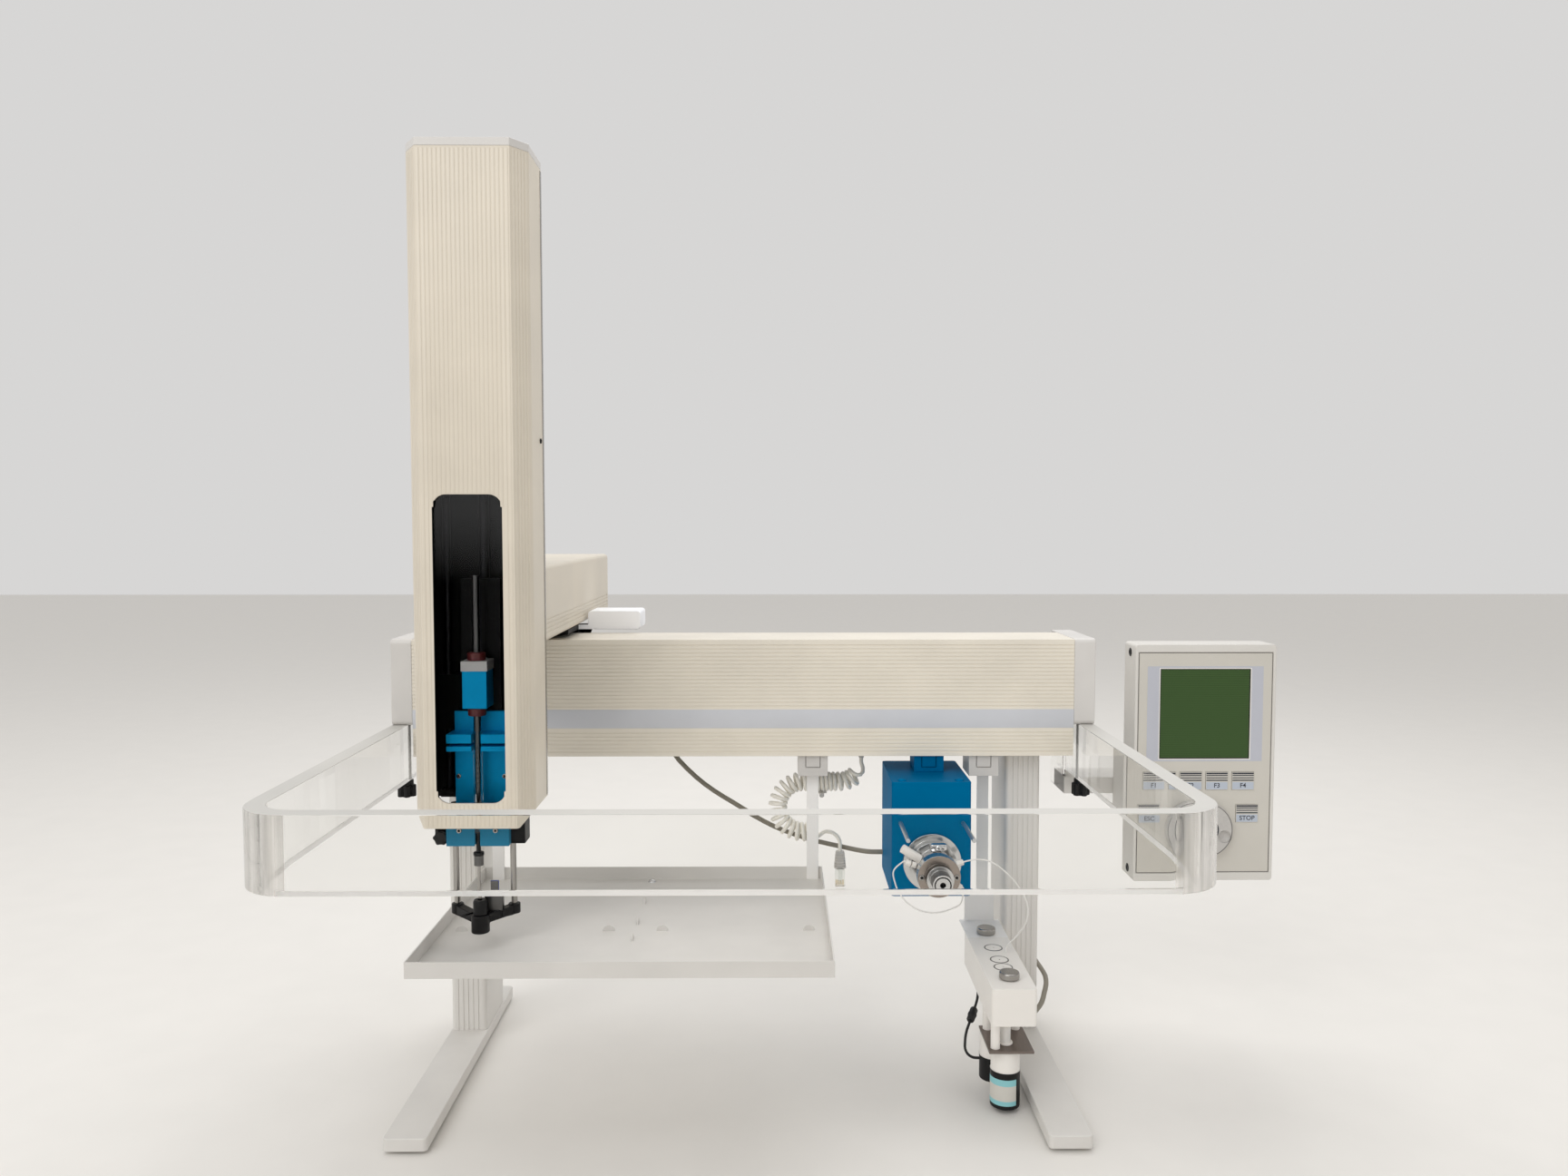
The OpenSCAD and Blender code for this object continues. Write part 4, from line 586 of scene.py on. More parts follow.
# %% The middle line of the curly cord
CORD_Y = 62
CORD_TOP = Vector((143, 340))
FIRST_TURN, BACK_TURN, TAIL_TURN = 26, 31, 16
RUN_LEFT, RUN_RIGHT = 46, 30
CURL_R, CURL_STEPS, CURLY_D = 9.6, 14, 4.8
TURN_PITCH, RUN_PITCH, PITCH_EASE = 7.7, 5.1, 8
CURL_EASE, EASE_PITCH, FIRST_CURL = 20, 10, 1.5
arc_down = FIRST_TURN * math.pi / 2
arc_back = BACK_TURN * math.pi
line_length = arc_down + RUN_LEFT + arc_back + RUN_RIGHT
run_middles = (arc_down + RUN_LEFT / 2, RUN_LEFT / 2), (line_length - RUN_RIGHT / 2, RUN_RIGHT / 2)


def middle_line(s):
    """The point (x, z) and the heading of the middle line after s millimetres."""
    corner = CORD_TOP - Vector((FIRST_TURN, FIRST_TURN))
    if s < arc_down:
        a = s / FIRST_TURN
        return CORD_TOP - FIRST_TURN * Vector((1 - math.cos(a), math.sin(a))), (-math.sin(a), -math.cos(a))
    s -= arc_down
    if s < RUN_LEFT:
        return corner - Vector((s, 0)), (-1, 0)
    s -= RUN_LEFT
    turn_start = corner - Vector((RUN_LEFT, 0))
    if s < arc_back:
        a = s / BACK_TURN
        return turn_start - BACK_TURN * Vector((math.sin(a), 1 - math.cos(a))), (-math.cos(a), -math.sin(a))
    return turn_start + Vector((s - arc_back, -2 * BACK_TURN)), (1, 0)


def pitch_at(s):
    """The curls lie close on the straight runs and open out on the turns."""
    inside = max(half - abs(s - middle) for middle, half in run_middles)
    share = min(1, max(0, inside / PITCH_EASE))
    return TURN_PITCH + (RUN_PITCH - TURN_PITCH) * share


print(f"middle line {line_length:.1f} mm")

# %% Wind the cord and end it in its plugs
cord_route = [at(CORD_TOP.x, CORD_Y, CORD_TOP.y + rise) for rise in (8, 4, 0)]
s = FIRST_CURL
turn = 0
while s < line_length - FIRST_CURL:
    place, heading = middle_line(s)
    ease = min(1, min(s, line_length - s) / CURL_EASE)
    radius = CURL_R * ease * ease * (3 - 2 * ease)
    cord_route.append(at(place.x - radius * math.sin(turn) * heading[1], CORD_Y + radius * math.cos(turn),
                         place.y + radius * math.sin(turn) * heading[0]))
    s += max(pitch_at(s), EASE_PITCH * math.sqrt(radius * (CURL_R - radius))) / CURL_STEPS
    turn += math.tau / CURL_STEPS
print(f"{turn / math.tau:.1f} curls")
line_end = middle_line(line_length)[0]
for step in range(7):
    a = math.radians(15 * step)
    cord_route.append(at(line_end.x + TAIL_TURN * math.sin(a), CORD_Y,
                         line_end.y - TAIL_TURN * (1 - math.cos(a))))
tail = Vector((line_end.x + TAIL_TURN, line_end.y - TAIL_TURN))
cord_route += [at(tail.x, CORD_Y, tail.y - drop) for drop in (4, 8)]

plug_bm = bmesh.new()
boot_top = tail.y - 8
PLUG_HALF, PLUG_THICK, PLUG_TOP, BOOT_RIBS, CONTACTS = 6, 4.5, 362, 6, 8


def plug_block(x, half_x, half_y, low, high, edge, look=0):
    """A block with its middle in the cord's plane."""
    corners = [at(x + side * half_x, CORD_Y + side * half_y, z) for side, z in ((-1, low), (1, high))]
    add_block(plug_bm, *corners, edge, look)


plug_block(tail.x, 5, 3.6, boot_top - 23, boot_top, 1)
for rib in range(BOOT_RIBS):
    low = boot_top - 4.2 - 3.4 * rib
    plug_block(tail.x, 5.6 + 0.35 * rib, PLUG_THICK, low, low + 2.2, 0.7)
plug_block(tail.x, PLUG_HALF, PLUG_THICK, boot_top - 44, boot_top - 22, 0.6, 1)
add_block(plug_bm, at(tail.x - 2.5, CORD_Y - 6.6, boot_top - 40),
          at(tail.x + 2.5, CORD_Y - 5.4, boot_top - 20), 0.3, 1)
for i in range(CONTACTS):
    x = tail.x - 4.2 + 1.2 * i
    add_block(plug_bm, at(x - 0.25, CORD_Y + 4.3, boot_top - 43.5),
              at(x + 0.25, CORD_Y + 4.7, boot_top - 37), 0, 2)
plug_block(CORD_TOP.x, PLUG_HALF, PLUG_THICK, CORD_TOP.y + 10, PLUG_TOP, 0.8)
sleeve = [(0, 0), (3.1, 0), (4.2, 4), (4.2, 10), (0, 10)]
add_turned(plug_bm, sleeve, at(CORD_TOP.x, CORD_Y, CORD_TOP.y + 4), UP)
plugs = add_piece("keypad_plugs", plug_bm, "stand", "plug_plastic", "plug_plastic", "clear_tube", "gold")
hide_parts("cord_plugs")
lead("keypad_cord", "curly_cord", cord_route, CURLY_D)

# %% [markdown]
# ## The pump lead and its connector
# A thin black lead drops from the wash block's underside to the rear pump, with a small black connector on
# its way so that the pump can be changed.

# %% Pump lead
pump_lead_points = [
    (268, -60, 104), (268, -60.1, 97), (266.8, -62.2, 90.5), (264.4, -66.8, 85.9), (261.5, -72.3, 82.6),
    (258.6, -77.8, 79.3), (255.8, -83.3, 76), (252.9, -88.8, 72.7), (250, -94.3, 69.4), (247.8, -98.5, 64.3),
    (247, -100, 57.6), (247.2, -100, 50.6), (250.3, -100, 44.3), (256.1, -100, 40.6), (263.1, -100, 40)]
pump_route = smooth_route([at(*p) for p in pump_lead_points], 3)
connector_bm = bmesh.new()
JOINT, WIRE_D = 15, 3
joint = pump_route[JOINT]
slope = (pump_route[JOINT + 2] - pump_route[JOINT - 2]).normalized()
half_shell = [(4.6, 7), (4.6, 1), (5.2, 1)]
shell = [(0, 9), (3.4, 9), *half_shell, *((r, -h) for r, h in reversed(half_shell)), (3.4, -9), (0, -9)]
add_turned(connector_bm, shell, joint, slope, 8, start=BACK)
connector = add_piece("pump_connector", connector_bm, "stand", "lead_black")
lead("pump_wire", "pump_lead", pump_route, WIRE_D)

# %% [markdown]
# ## Soft edges on the solids
# A real edge is never perfectly sharp: it catches a thin line of light. Each showing solid is copied, its
# loose triangles are merged and its flat faces joined, and a Bevel modifier rounds the edges that are
# sharper than the crease angle. The copy stands for the solid, which stays underneath, hidden.

# %% Copy a solid and round its edges
def softened(node, edge, *looks, pick=None):
    """A copy of a solid with rounded edges; pick gives the number of each face's finish."""
    bm = bmesh.new()
    bm.from_mesh(nodes[node].data)
    bmesh.ops.remove_doubles(bm, verts=bm.verts, dist=MM / 500)
    bmesh.ops.dissolve_limit(bm, angle_limit=math.radians(0.5), verts=bm.verts, edges=bm.edges)
    if pick:
        for face in bm.faces:
            face.material_index = pick(in_mm(face.calc_center_median()), face.normal)
    slot = slot_of[node]
    piece = add_piece(node + "_skin", bm, nodes[node]["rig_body"], slot, *looks, edge=edge)
    for layer in ("custom_normal", "sharp_edge", "sharp_face"):
        if layer in piece.data.attributes:
            piece.data.attributes.remove(piece.data.attributes[layer])
    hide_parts(node)
    return piece


KEYS = ("f1", "f2", "f3", "f4", "esc", "stop")
plain_edges = {
    "feet": 1.4, "columns": 0.2, "foot_pads": 0.8, "beam_rail": 0.4, "end_caps": 1.2,
    "y_arm_cover": 0.25, "tower_cap": 0.8, "tower_window": 0.2, "tower_frame": 0.3, "head_block": 0.5,
    "syringe_barrel": 0.25, "plunger_knob": 1.2, "guide_foot": 0.8, "tray": 0.3, "valve_drive": 0.8,
    "wash_block": 0.5, "keypad_shell": 1.2, "keypad_panel": 0.15, "keypad_screen": 0.15,
    **{"key_" + key: 0.3 for key in KEYS}, "jog_wheel": 0.8, "enter_button": 0.8}
for node, edge in plain_edges.items():
    softened(node, edge)
print(len(plain_edges), "solids softened")

# %% [markdown]
# ## Solids with several finishes
# Some solids are one part with two or more looks: the tower's cover is painted outside and carries a
# painted shade, near black, on its inside faces, the guard's cut edges are frosted, a pump has a white head
# on a black motor. A face's centre and its direction say which look it takes. A few others take one finish
# that isn't their slot's own.

# %% Several finishes on one solid
TOWER_X, TOWER_Y, TOWER_DEPTH, TOWER_LOW = -259, -236, 78, 338
VALVE_X, VALVE_Z, EAR_X, VALVE_CLAMP_X, CLAMP_HALF = 215, 248, 30, 219, 20
RING_FRONT, NECK_FRONT, RIM_FRONT, DISC_FRONT = -71, -97, -111, -113
PLATE_TOP, TUBE_X, TUBE_Y, PUMP_BLACK = 72, 285, -133, 45
LATCH_TOP, LATCH_HALF, HUB_LOW, HUB_HIGH = 261, 21, 292, 305
GUARD_LOW, ARM_PLATE_X, BOX_LEFT, PLUNGER_CAP = 327, 394, -200, 488


def tower_inside(centre, normal):
    """Faces that look back at the tower's middle take a painted shade, near black."""
    from_middle = (centre.x - TOWER_X) * normal.x + (centre.y - TOWER_Y - TOWER_DEPTH / 2) * normal.y
    return int(from_middle < 0 and abs(normal.z) < 0.5)


def guard_look(centre, normal):
    """Top edges are frosted, lower edges take a painted glow, the bent corners take streaks of painted
    highlight.
    """
    if abs(normal.z) > 0.9:
        return 1 if normal.z > 0 else 2
    return 3 if min(abs(normal.x), abs(normal.y)) > 0.1 else 0


def stator_look(centre, normal):
    """The ring and rims are bright, the neck is polished, the turned steps are darker at their sides."""
    if abs(centre.x - VALVE_X) > EAR_X:
        return 4
    if centre.y > RING_FRONT or RIM_FRONT < centre.y < NECK_FRONT and abs(normal.y) < 0.5:
        return 0
    if centre.y > NECK_FRONT:
        return 1
    if normal.y > -0.5:
        return 3
    return 2 if centre.y > DISC_FRONT else 0


def plate_look(centre, normal):
    """The plate is bare steel, its posts are white and the tube is milky."""
    if centre.z < PLATE_TOP + 0.1:
        return 0
    return 2 if math.hypot(centre.x - TUBE_X, centre.y - TUBE_Y) < 8 else 1


# The beam's cover, the tray's hangers and the wash bracket take lighter copies of their paint: painted
# light.
for node, edge, look in (("beam_cover", 0.2, "beam_paint"), ("plunger_rod", 0.3, "latch_steel"),
                         ("tray_hangers", 0.3, "bright_white"), ("wash_bracket", 0.25, "bright_white"),
                         ("wash_nuts", 2, "steel")):
    softened(node, edge, look)
# Inside the tower the holder takes the lighter, glowing blue, painted light; its lip below the tower takes a
# darker blue.
softened("syringe_holder", 0.35, "holder_blue", "lip_blue", pick=lambda c, n: int(c.z < TOWER_LOW))
# The inside faces of the tower's cover take a near-black painted shade.
softened("tower_cover", 0.4, "beige_paint", "dark_inside", pick=tower_inside)
softened("guard", 1, "clear_acrylic", "frosted_edge", "bright_edge", "bent_acrylic", pick=guard_look)
# The box on the carriage takes a lighter, glowing white: painted light.
softened("x_carriage", 0.8, "dark_aluminium", "box_white", pick=lambda c, n: int(c.x > BOX_LEFT))
# The plunger block takes the same lighter, glowing blue: painted light.
softened("plunger_block", 0.5, "holder_blue", "cap_plastic", pick=lambda c, n: int(c.z > PLUNGER_CAP))
softened("keypad_bracket", 0.6, "grey_paint", "clear_acrylic", pick=lambda c, n: int(c.x < ARM_PLATE_X))
softened("guide_rods", 0.4, "steel", "latch_steel", "lever_blue",
         pick=lambda c, n: 0 if abs(c.x - TOWER_X) > LATCH_HALF else 2 if c.z > LATCH_TOP + 0.1 else 1)
softened("needle", 0.15, "steel", "latch_steel", "black_plastic",
         pick=lambda c, n: 0 if c.z < HUB_LOW - 0.1 else 1 if c.z < HUB_HIGH else 2)
for side in ("left", "right"):
    softened("guard_knob_" + side, 1, "black_plastic", "turned_steel",
             pick=lambda c, n: int(c.z > GUARD_LOW + 1))
softened("rail_clamps", 0.3, "clamp_plastic", "blue_aluminium",
         pick=lambda c, n: int(abs(c.x - VALVE_CLAMP_X) < CLAMP_HALF))
softened("valve_stator", 0.5, "turned_steel", "chrome", "stator_steel", "latch_steel", "rail_aluminium",
         pick=stator_look)
softened("wash_pumps", 0.8, "white_plastic", "black_plastic", pick=lambda c, n: int(c.z < PUMP_BLACK))
softened("pump_plate", 0.4, "plate_steel", "white_plastic", "milky_tube", pick=plate_look)
print("solids with several finishes done")

# %% [markdown]
# ## The mechanism inside
# Rods, the lifting screw, the belt drive, the motor and the valve's rotor sit behind covers. Their solids
# are right as they are, so they only get a finish.

# %% Finishes on hidden solids
# The rods and the lifting screw inside the tower take a near-black steel: painted shade.
for node in ("x_guide_rods", "x_drive", "z_motor", "z_guide_rods", "z_screw", "valve_rotor"):
    for socket in nodes[node].material_slots:
        socket.material = finish["shaded_steel" if node in ("z_guide_rods", "z_screw") else slot_of[node]]
print("hidden solids finished")

# %% [markdown]
# ## The beam's plain band
# Between the two ribbed fields of the beam's cover runs a smooth grey-blue band. It is a thin strip set in
# the cover, so it is a plate that stands a fraction of a millimetre proud.

# %% Band on the beam
BAND_HALF, BAND_LOW, BAND_HIGH, BAND_PROUD, BAND_DEPTH = 389, 391.4, 413.6, 0.35, 0.6
band_bm = bmesh.new()
add_block(band_bm, at(-BAND_HALF, -BAND_PROUD, BAND_LOW), at(BAND_HALF, BAND_DEPTH, BAND_HIGH), 0.15)
add_piece("beam_band", band_bm, "stand", "beige_paint", "band_paint")
print("band", 2 * BAND_HALF, "mm long")

# %% [markdown]
# ## Fine ribs on the tower
# The tower's front is an extrusion with fine upright ribs, which stop at the window. Each rib is a thin
# block, and where the window is in its way it becomes two. The window has round corners, so the length
# depends on how far out the rib is. The same ribs run on the slanted corners.

# %% Ribs
def on_tower(x, depth, z):
    """A place from the middle of the tower's front face."""
    return at(TOWER_X + x, TOWER_Y + depth, z)


WINDOW_HALF_W, WINDOW_HALF_H, WINDOW_R, WINDOW_Z = 33.5, 150, 13, 510
RIB_LOW, RIB_HIGH, RIB_HALF_W, RIB_PROUD, RIB_PITCH, RIBS_A_SIDE = 338, 986, 1.45, 0.3, 4.2, 10


def opening_half(x):
    """Half the window's height where a rib crosses it."""
    over = abs(x) - (WINDOW_HALF_W - WINDOW_R)
    if abs(x) > WINDOW_HALF_W + RIB_HALF_W:
        return None
    if over <= 0:
        return WINDOW_HALF_H
    return WINDOW_HALF_H - WINDOW_R + math.sqrt(max(0, WINDOW_R**2 - over**2))


ribs_bm = bmesh.new()
for i in range(-RIBS_A_SIDE, RIBS_A_SIDE + 1):
    x = RIB_PITCH * i
    half = opening_half(x)
    spans = [(RIB_LOW, RIB_HIGH)]
    if half is not None:
        spans = [(RIB_LOW, WINDOW_Z - half - 1), (WINDOW_Z + half + 1, RIB_HIGH)]
    for low, high in spans:
        add_block(ribs_bm, on_tower(x - RIB_HALF_W, -RIB_PROUD, low),
                  on_tower(x + RIB_HALF_W, RIB_PROUD, high), 0.2)
print(len(ribs_bm.faces), "faces in the front ribs")

# %% Ribs on the slanted corners
CORNER_X, CORNER_W, CORNER_D, CHEEK_Z = 45, 14, 20.5, 352
slant = math.atan2(CORNER_D, CORNER_W)
for side in (-1, 1):
    for share in (0.17, 0.34, 0.5, 0.66, 0.83):
        before = set(ribs_bm.verts)
        add_block(ribs_bm, MM * Vector((-RIB_HALF_W, -RIB_PROUD, CHEEK_Z)),
                  MM * Vector((RIB_HALF_W, RIB_PROUD, RIB_HIGH)), 0.2)
        foot = on_tower(side * (CORNER_X + share * CORNER_W), share * CORNER_D, 0)
        turned = Matrix.Translation(foot) @ Matrix.Rotation(side * slant, 4, "Z")
        made = [corner for corner in ribs_bm.verts if corner not in before]
        bmesh.ops.transform(ribs_bm, matrix=turned, verts=made)
add_piece("tower_ribs", ribs_bm, "y_arm", "beige_paint")
print("corner ribs added")

# %% [markdown]
# ## Tower trim
# A bright strip runs down each rear edge of the tower, where the cover meets the back frame, and a small
# dark screw holds the cover on each side. Four more on each side hold the frame at the back.

# %% Strips and screws
STRIP_IN, STRIP_OUT, STRIP_FRONT, STRIP_BACK = 58.9, 59.5, 71.5, 77
SIDE_X, SIDE_DEPTH, SIDE_Z, BACK_X, BACK_ROWS = 59, 60, 715, 46, (380, 480, 640, 900)
trim_bm = bmesh.new()
for side in (-1, 1):
    low, high = sorted((side * STRIP_IN, side * STRIP_OUT))
    add_block(trim_bm, on_tower(low, STRIP_FRONT, CHEEK_Z), on_tower(high, STRIP_BACK, RIB_HIGH), 0.2)
    add_screw(trim_bm, on_tower(side * SIDE_X, SIDE_DEPTH, SIDE_Z), (side, 0, 0), 2.6, 1.4, 1)
    for z in BACK_ROWS:
        add_screw(trim_bm, on_tower(side * BACK_X, TOWER_DEPTH, z), BACK, 3, 1.8)
add_piece("tower_trim", trim_bm, "y_arm", "steel", "steel", "black_plastic")
print("tower trim done")

# %% [markdown]
# ## Details of the syringe head
# The blue holder is screwed together from two halves, so there are two screws on its front lip and two
# higher up. A black ring sits on the needle's hub, and a black bush on the guide's nose leads the needle.
# The glass barrel has a printed scale. A black lobed thumb screw sits at the left end of the head.

# %% Syringe head
NEEDLE_DEPTH, NOSE_TOP, SCALE_LOW, SCALE_STEP, SCALE_MARKS, BARREL_R = 28, 241, 350, 5, 13, 4.66
LIP_Z, HOLDER_Z, HUB_RING_Z, THUMB_X, THUMB_Z, LOBES, LOBE_R = 328, 378, 302, -37, 320, 6, 5.6
head_bm = bmesh.new()
for side in (-1, 1):
    add_screw(head_bm, on_tower(side * 18, NEEDLE_DEPTH - 4, LIP_Z), FRONT, 2.6, 1.6)
    add_screw(head_bm, on_tower(side * 23, NEEDLE_DEPTH + 14, HOLDER_Z), FRONT, 2.4, 1.4)
add_turned(head_bm, [(0, 0), (5, 0), (5.3, 0.8), (5.3, 2.4), (5, 3.2), (0, 3.2)],
           on_tower(0, NEEDLE_DEPTH, HUB_RING_Z), UP, 24, 1)
add_piece("head_screws", head_bm, "z_head", "steel", "steel", "black_plastic")
bush_bm = bmesh.new()
add_turned(bush_bm, [(2.6, 0), (6.6, 0), (7, 0.6), (7, 13), (6, 15), (2.6, 15), (2.6, 0)],
           on_tower(0, NEEDLE_DEPTH, NOSE_TOP), UP, 32)
add_piece("guide_bush", bush_bm, "needle_guide", "black_plastic")

thumb_bm = bmesh.new()
thumb_place = on_tower(THUMB_X, NEEDLE_DEPTH + 6, THUMB_Z)
knob = [(0, 0), (3, 0), (3, 3), (6, 3), (6.6, 4), (6.6, 9), (5.8, 10), (0, 10)]
add_turned(thumb_bm, knob, thumb_place, FRONT, 20)
for i in range(LOBES):
    a = math.tau * i / LOBES
    lobe = thumb_place + MM * Vector((LOBE_R * math.cos(a), -3, LOBE_R * math.sin(a)))
    add_turned(thumb_bm, [(0, 0), (2, 0), (2.3, 0.8), (2.3, 5.2), (2, 6), (0, 6)], lobe, FRONT, 12)
add_piece("head_thumb_screw", thumb_bm, "z_head", "black_plastic")

scale_bm = bmesh.new()
for i in range(SCALE_MARKS):
    reach = 70 if i % 3 == 0 else 42
    place = on_tower(0, NEEDLE_DEPTH, SCALE_LOW + SCALE_STEP * i)
    mark = [(BARREL_R, -0.25), (BARREL_R, 0.25)]
    add_turned(scale_bm, mark, place, UP, 6, 0, reach, (-0.35, -1, 0))
add_piece("barrel_scale", scale_bm, "z_head", "syringe_glass", "ink")
print("syringe head dressed")

# %% [markdown]
# ## Details of the valve
# Four white fittings stand round the stator's neck: a long plain one at the upper left, and small
# six-sided nuts on steel stems, which are a spin of only six steps. A thin loop joins two of them. Two
# socket screws hold the stator's disc, a bright clamp sits on its ring, and the lid's screws are domed.

# %% Fittings and sample loop
NECK_R = 19
FITTINGS = ((16, -84, 3.3, 8, 5), (148, -79, 5, 24, 0.6), (163, -90, 3.3, 12, 4.5), (325, -84, 3.3, 8, 8))


def round_valve(radius, angle, y):
    """A place at an angle round the valve's axis."""
    a = math.radians(angle)
    return at(VALVE_X + radius * math.cos(a), y, VALVE_Z + radius * math.sin(a))


fitting_bm = bmesh.new()
for angle, y, radius, length, stem in FITTINGS:
    foot = round_valve(NECK_R, angle, y)
    out = (foot - round_valve(0, angle, y)).normalized()
    end = stem + length
    add_turned(fitting_bm, [(0, -4), (2, -4), (2, stem), (0, stem)], foot, out, 16, 1, start=BACK)
    parts = [(stem, end)] if length < 12 or radius > 4 else [(stem, stem + 5), (stem + 6.5, end)]
    for low, high in parts:
        rim = radius - 0.4
        nut = [(0, low), (rim, low), (radius, low + 0.4), (radius, high - 0.4), (rim, high), (0, high)]
        add_turned(fitting_bm, nut, foot, out, 24 if radius > 4 else 6, start=BACK)
    if len(parts) > 1:
        collar = [(0, stem + 5), (2.2, stem + 5), (2.2, stem + 6.5), (0, stem + 6.5)]
        add_turned(fitting_bm, collar, foot, out, 16, 1, start=BACK)
fittings = add_piece("valve_fitting_set", fitting_bm, "stand", "white_plastic", "white_plastic", "steel")
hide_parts("valve_fittings")

(from_angle, from_y, _, from_l, from_stem), (to_angle, to_y, _, to_l, to_stem) = FITTINGS[2:]
LOOP_SWELL, LOOP_STEP, LOOP_WAVE, LOOP_STRAIGHT = 12, 16, 4, 3
from_r, to_r = NECK_R + from_stem + from_l, NECK_R + to_stem + to_l
loop_places = [round_valve(from_r + reach, from_angle, from_y) for reach in (0, LOOP_STRAIGHT)]
for angle in range(from_angle + LOOP_STEP, to_angle - LOOP_STEP // 2, LOOP_STEP):
    wave = LOOP_WAVE * math.sin(math.radians(2 * angle))
    loop_places.append(round_valve(from_r + LOOP_SWELL, angle, from_y - wave))
loop_places += [round_valve(to_r + reach, to_angle, to_y) for reach in (LOOP_STRAIGHT, 0)]
loop = tube("valve_loop", smooth_route(loop_places, 5), TUBE_D, finish["milky_tube"], "stand")
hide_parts("sample_loop")
print(len(FITTINGS), "fittings and a loop")

# %% Screws on the valve
DISC_Y, DISC_SCREW_R, RING_Y, PORT_Y = -112, 19, -70, -140
LID_Y, LID_TOP, LOW_Y, LOW_Z = -40, 338, -50, 214
valve_bm = bmesh.new()
for angle in (0, 180):
    add_screw(valve_bm, round_valve(DISC_SCREW_R, angle, DISC_Y), FRONT, 3.4, 1.2)
add_block(valve_bm, at(VALVE_X - 5, RING_Y - 7, VALVE_Z + 18),
          at(VALVE_X + 14, RING_Y + 2, VALVE_Z + 27), 3, 3)
add_dome(valve_bm, at(VALVE_X + 4, RING_Y - 7, VALVE_Z + 22.5), FRONT, 3.6, 2.2, 3)
for side in (-1, 1):
    add_dome(valve_bm, at(VALVE_X + side * 33, LID_Y, LID_TOP), UP, 5.4, 2.6, 2)
    add_screw(valve_bm, at(VALVE_X + side * 39, LOW_Y, LOW_Z), FRONT, 2.4, 1, 1)
# A thin black ring on the port's face: painted shade of the groove there.
port_ring = [(7.8, 0), (9.2, 0), (9.2, 0.15), (7.8, 0.15), (7.8, 0)]
add_turned(valve_bm, port_ring, at(VALVE_X, PORT_Y, VALVE_Z), FRONT, 32, 1)
add_piece("valve_screws", valve_bm, "stand", "steel", "steel", "black_plastic", "blue_aluminium", "chrome")
print("valve screws done")

# %% [markdown]
# ## Details of the wash station
# Each of the three wells has a white cap in a thin grey ring, with a small hole for the needle. The front
# pump has a bare two-colour label wrapped round it. The milky tube over the pump has two white rings.

# %% Wells, label and ring
WASH_X, WASH_TOP, WELL_ROWS, UPPER_RING = 288, 144, (-103, -81, -45), 92
LABEL_R, LABEL_SWEEP = 16.1, 136
well_cap = [(1.2, -0.9), (9.2, -0.9), (9.2, -0.1), (9, 0.1), (1.6, 0.1), (1.2, -0.2), (1.2, -0.9)]
well_ring = [(9.3, -0.9), (10.4, -0.9), (10.4, 0.15), (9.3, 0.15), (9.3, -0.9)]
wash_bm = bmesh.new()
for y in WELL_ROWS:
    for look, profile in enumerate((well_cap, well_ring)):
        add_turned(wash_bm, profile, at(WASH_X, y, WASH_TOP), UP, 32, look)
for z, height in ((PLATE_TOP, 2.6), (UPPER_RING, 8)):
    rim = [(5.6, 0), (7.4, 0), (7.8, 0.6), (7.8, height - 1), (7.2, height), (5.6, height), (5.6, 0)]
    add_turned(wash_bm, rim, at(TUBE_X, TUBE_Y, z), UP, 28)
add_piece("wash_caps", wash_bm, "stand", "white_plastic", "white_plastic", "ring_grey")

label_bm = bmesh.new()
for low, high, look in ((9.5, 14.5, 1), (14.5, 31, 0), (31, 38, 1)):
    add_turned(label_bm, [(LABEL_R, low), (LABEL_R, high)], at(TUBE_X, TUBE_Y, 0), UP, 20, look,
               LABEL_SWEEP, (-0.98, 0.17, 0))
add_piece("pump_label", label_bm, "stand", "white_plastic", "key_film", "teal_label")
print("wash station dressed")

# %% [markdown]
# ## Print and keys on the keypad
# The panel has a lilac field round the screen. Each key shows four dark lines over a pale label with its
# mark. The marks are text made into a mesh, set upright, and laid on the key so that it moves with the key.

# %% Field and edge round the screen
SCREEN_X, SCREEN_Z, SCREEN_HALF = 544.5, 407.5, 53.5
FIELD_HALF_W, FIELD_HALF_H, PANEL_Y, MARK_SUNK = 68.5, 56.5, 1, 0.02


def add_frame(bm, z, half_w, half_h, inner_w, inner_h, y, thick, look):
    """A flat frame in front of a surface, made of four strips."""
    for low, high in (((-half_w, inner_h), (half_w, half_h)), ((-half_w, -half_h), (half_w, -inner_h)),
                      ((-half_w, -inner_h), (-inner_w, inner_h)), ((inner_w, -inner_h), (half_w, inner_h))):
        add_block(bm, at(SCREEN_X + low[0], y - thick, z + low[1]),
                  at(SCREEN_X + high[0], y + MARK_SUNK, z + high[1]), 0, look)


field_bm = bmesh.new()
rim, glass = SCREEN_HALF + 1, SCREEN_HALF - 0.2
add_frame(field_bm, SCREEN_Z, FIELD_HALF_W, FIELD_HALF_H, rim, rim, PANEL_Y, 0.12, 0)
# A thin white frame round the screen: painted light on the lit walls of the screen's recess.
add_frame(field_bm, SCREEN_Z, rim, rim, SCREEN_HALF, SCREEN_HALF, PANEL_Y, 0.2, 2)
screen_front = in_mm(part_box("keypad_screen")[0]).y
# A thin black line on the screen's edge: painted shade inside the recess.
add_frame(field_bm, SCREEN_Z, glass, glass, glass - 0.9, glass - 0.9, screen_front, 0.1, 1)
panel_low, panel_high = (in_mm(corner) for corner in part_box("keypad_panel"))
panel_half = (panel_high - panel_low) / 2
add_frame(field_bm, (panel_low.z + panel_high.z) / 2, panel_half.x - 0.1, panel_half.z - 0.1,
          panel_half.x - 0.8, panel_half.z - 0.8, panel_low.y, 0.08, 3)
add_piece("screen_surround", field_bm, "stand", "panel_film",
          "lilac_print", "black_plastic", "white_plastic", "ring_grey")
print("screen surround done")

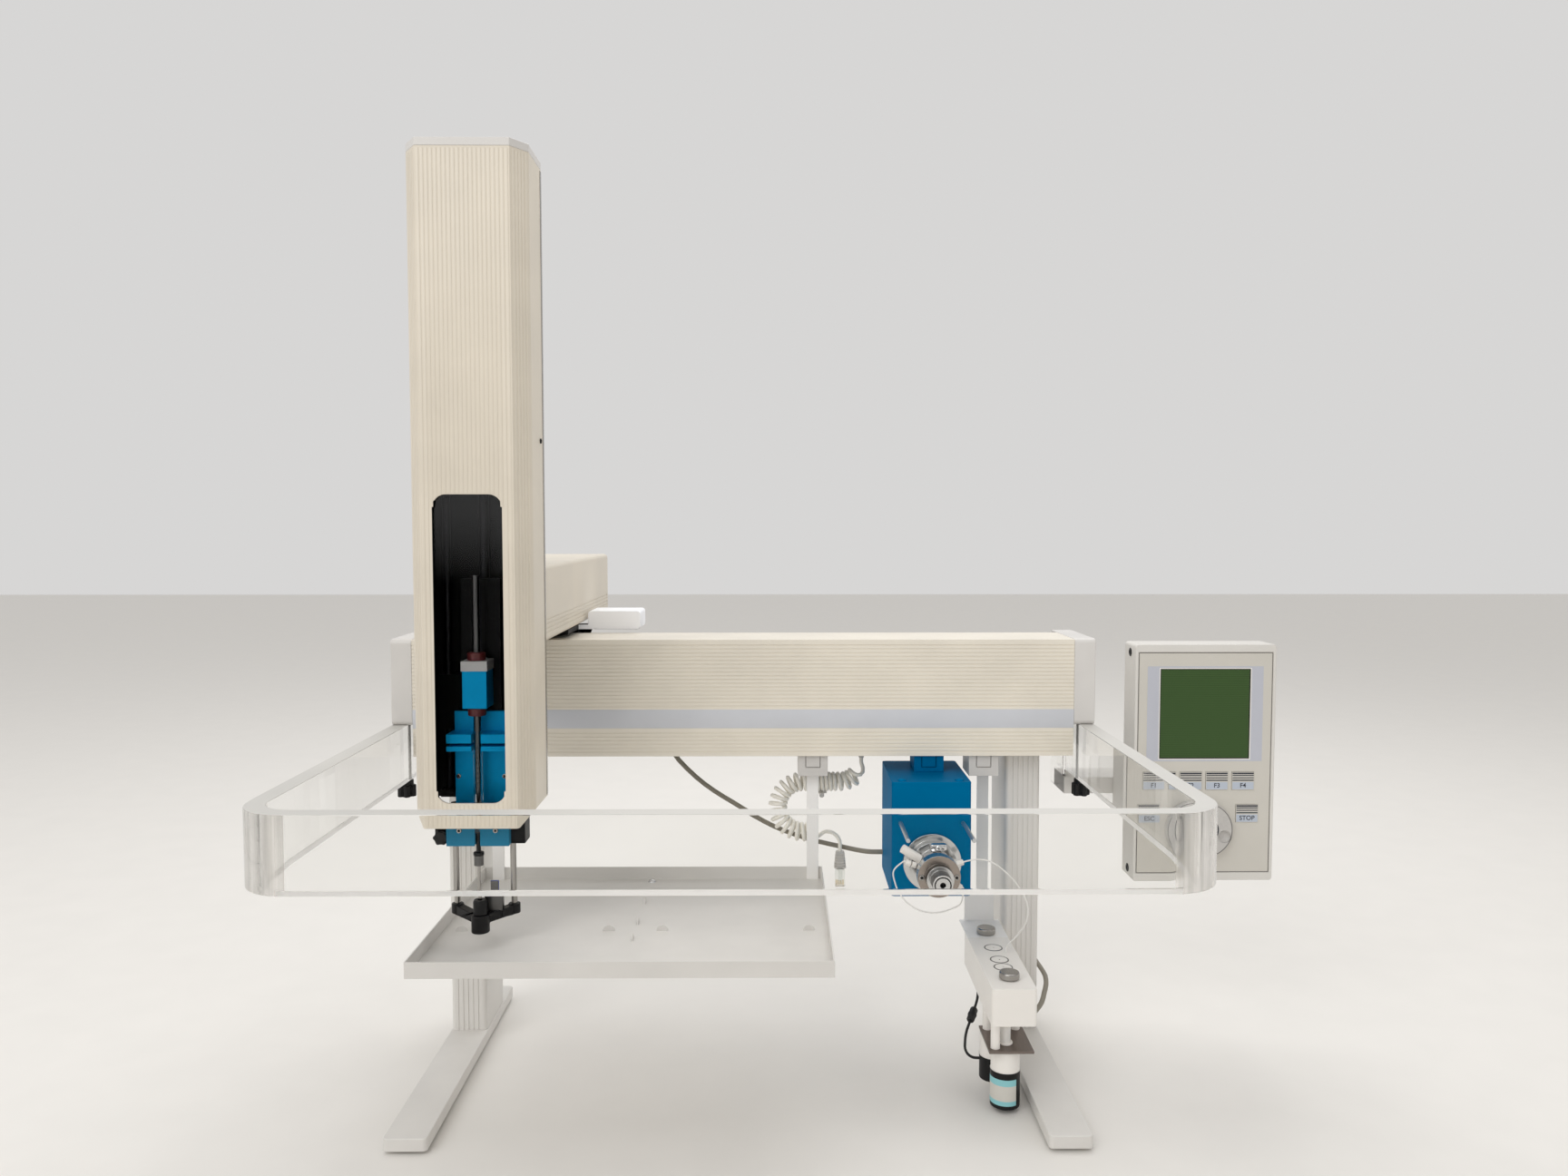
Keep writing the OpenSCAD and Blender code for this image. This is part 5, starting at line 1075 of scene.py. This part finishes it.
# %% Marks on the keys
def add_letters(bm, words, height, place):
    """Text as a thin mesh, upright and facing the front, its middle at the place."""
    text = bpy.data.curves.new(words, "FONT")
    text.body = words
    text.size = height * MM
    text.align_x = "CENTER"
    text.align_y = "CENTER"
    text.extrude = 0.03 * MM
    text.offset = 0.12 * MM
    holder = new_object(words, text)
    bpy.context.view_layer.update()
    mesh = bpy.data.meshes.new_from_object(holder.evaluated_get(bpy.context.evaluated_depsgraph_get()))
    bpy.data.objects.remove(holder)
    mesh.transform(Matrix.Translation(place) @ Matrix.Rotation(math.radians(90), 4, "X"))
    bm.from_mesh(mesh)
    bpy.data.meshes.remove(mesh)


MARK_HALF, MARK_SIZE = 12.6, 7.6
for key in KEYS:
    low, high = (in_mm(corner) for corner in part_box("key_" + key))
    face_y, x, z = low.y, (low.x + high.x) / 2, (low.z + high.z) / 2
    marks_bm = bmesh.new()
    for line, thick in enumerate((1.9, 1.2, 1.2, 1.5)):
        top = z + 10 - 2.8 * line
        add_block(marks_bm, at(x - MARK_HALF, face_y - 0.06, top - thick),
                  at(x + MARK_HALF, face_y + MARK_SUNK, top))
    add_block(marks_bm, at(x - MARK_HALF, face_y - 0.05, z - 10),
              at(x + MARK_HALF, face_y + MARK_SUNK, z - 1.2), 0, 1)
    add_letters(marks_bm, key.upper(), MARK_SIZE, at(x, face_y - 0.07, z - 5.5))
    add_piece("key_marks_" + key, marks_bm, "key_" + key, "key_film", "ink", "label_print")
print("six keys marked")

# %% [markdown]
# ## Dial ring and case screws
# A thin dark ring runs round the button in the middle of the dial, painted shade of the groove there, and a
# grey line along the dial's rim. Two dark socket screws on each side of the keypad hold its shell together.

# %% Dial ring and case screws
jog_low, jog_high = (in_mm(corner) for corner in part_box("jog_wheel"))
dial_bm = bmesh.new()
dial = at((jog_low.x + jog_high.x) / 2, jog_low.y, (jog_low.z + jog_high.z) / 2)
jog_r = (jog_high.x - jog_low.x) / 2
# The inner ring is painted shade of the groove round the button; the outer one is the grey line on the rim.
for inner, outer, look in ((14.4, 16, 0), (jog_r - 1.7, jog_r - 0.8, 1)):
    half_ring = [(inner, -0.05), (inner, 0.15), (inner + 0.2, 0.3)]
    other_half = [(outer - 0.2, 0.3), (outer, 0.15), (outer, -0.05)]
    add_turned(dial_bm, [*half_ring, *other_half, half_ring[0]], dial, FRONT, 48, look)
add_piece("dial_ring", dial_bm, "jog_wheel", "jog_plastic", "ink", "ring_grey")
CASE_HALF, CASE_Y, CASE_ROWS = 83.5, 20, (219, 479)
case_bm = bmesh.new()
for side in (-1, 1):
    for z in CASE_ROWS:
        add_screw(case_bm, at(SCREEN_X + side * CASE_HALF, CASE_Y, z), (side, 0, 0), 5, 0.8, 0, 0)
add_piece("case_screws", case_bm, "stand", "black_plastic")
print("dial ring and case screws done")

# %% [markdown]
# ## The tray's screw
# A domed screw holds the tray's floor in the middle of its rear edge.

# %% Tray screw
tray_bm = bmesh.new()
add_dome(tray_bm, at(-110, 12, 205.5), UP, 5, 2.8)
add_piece("tray_screw", tray_bm, "stand", "steel", "chrome")
print("tray screw done")
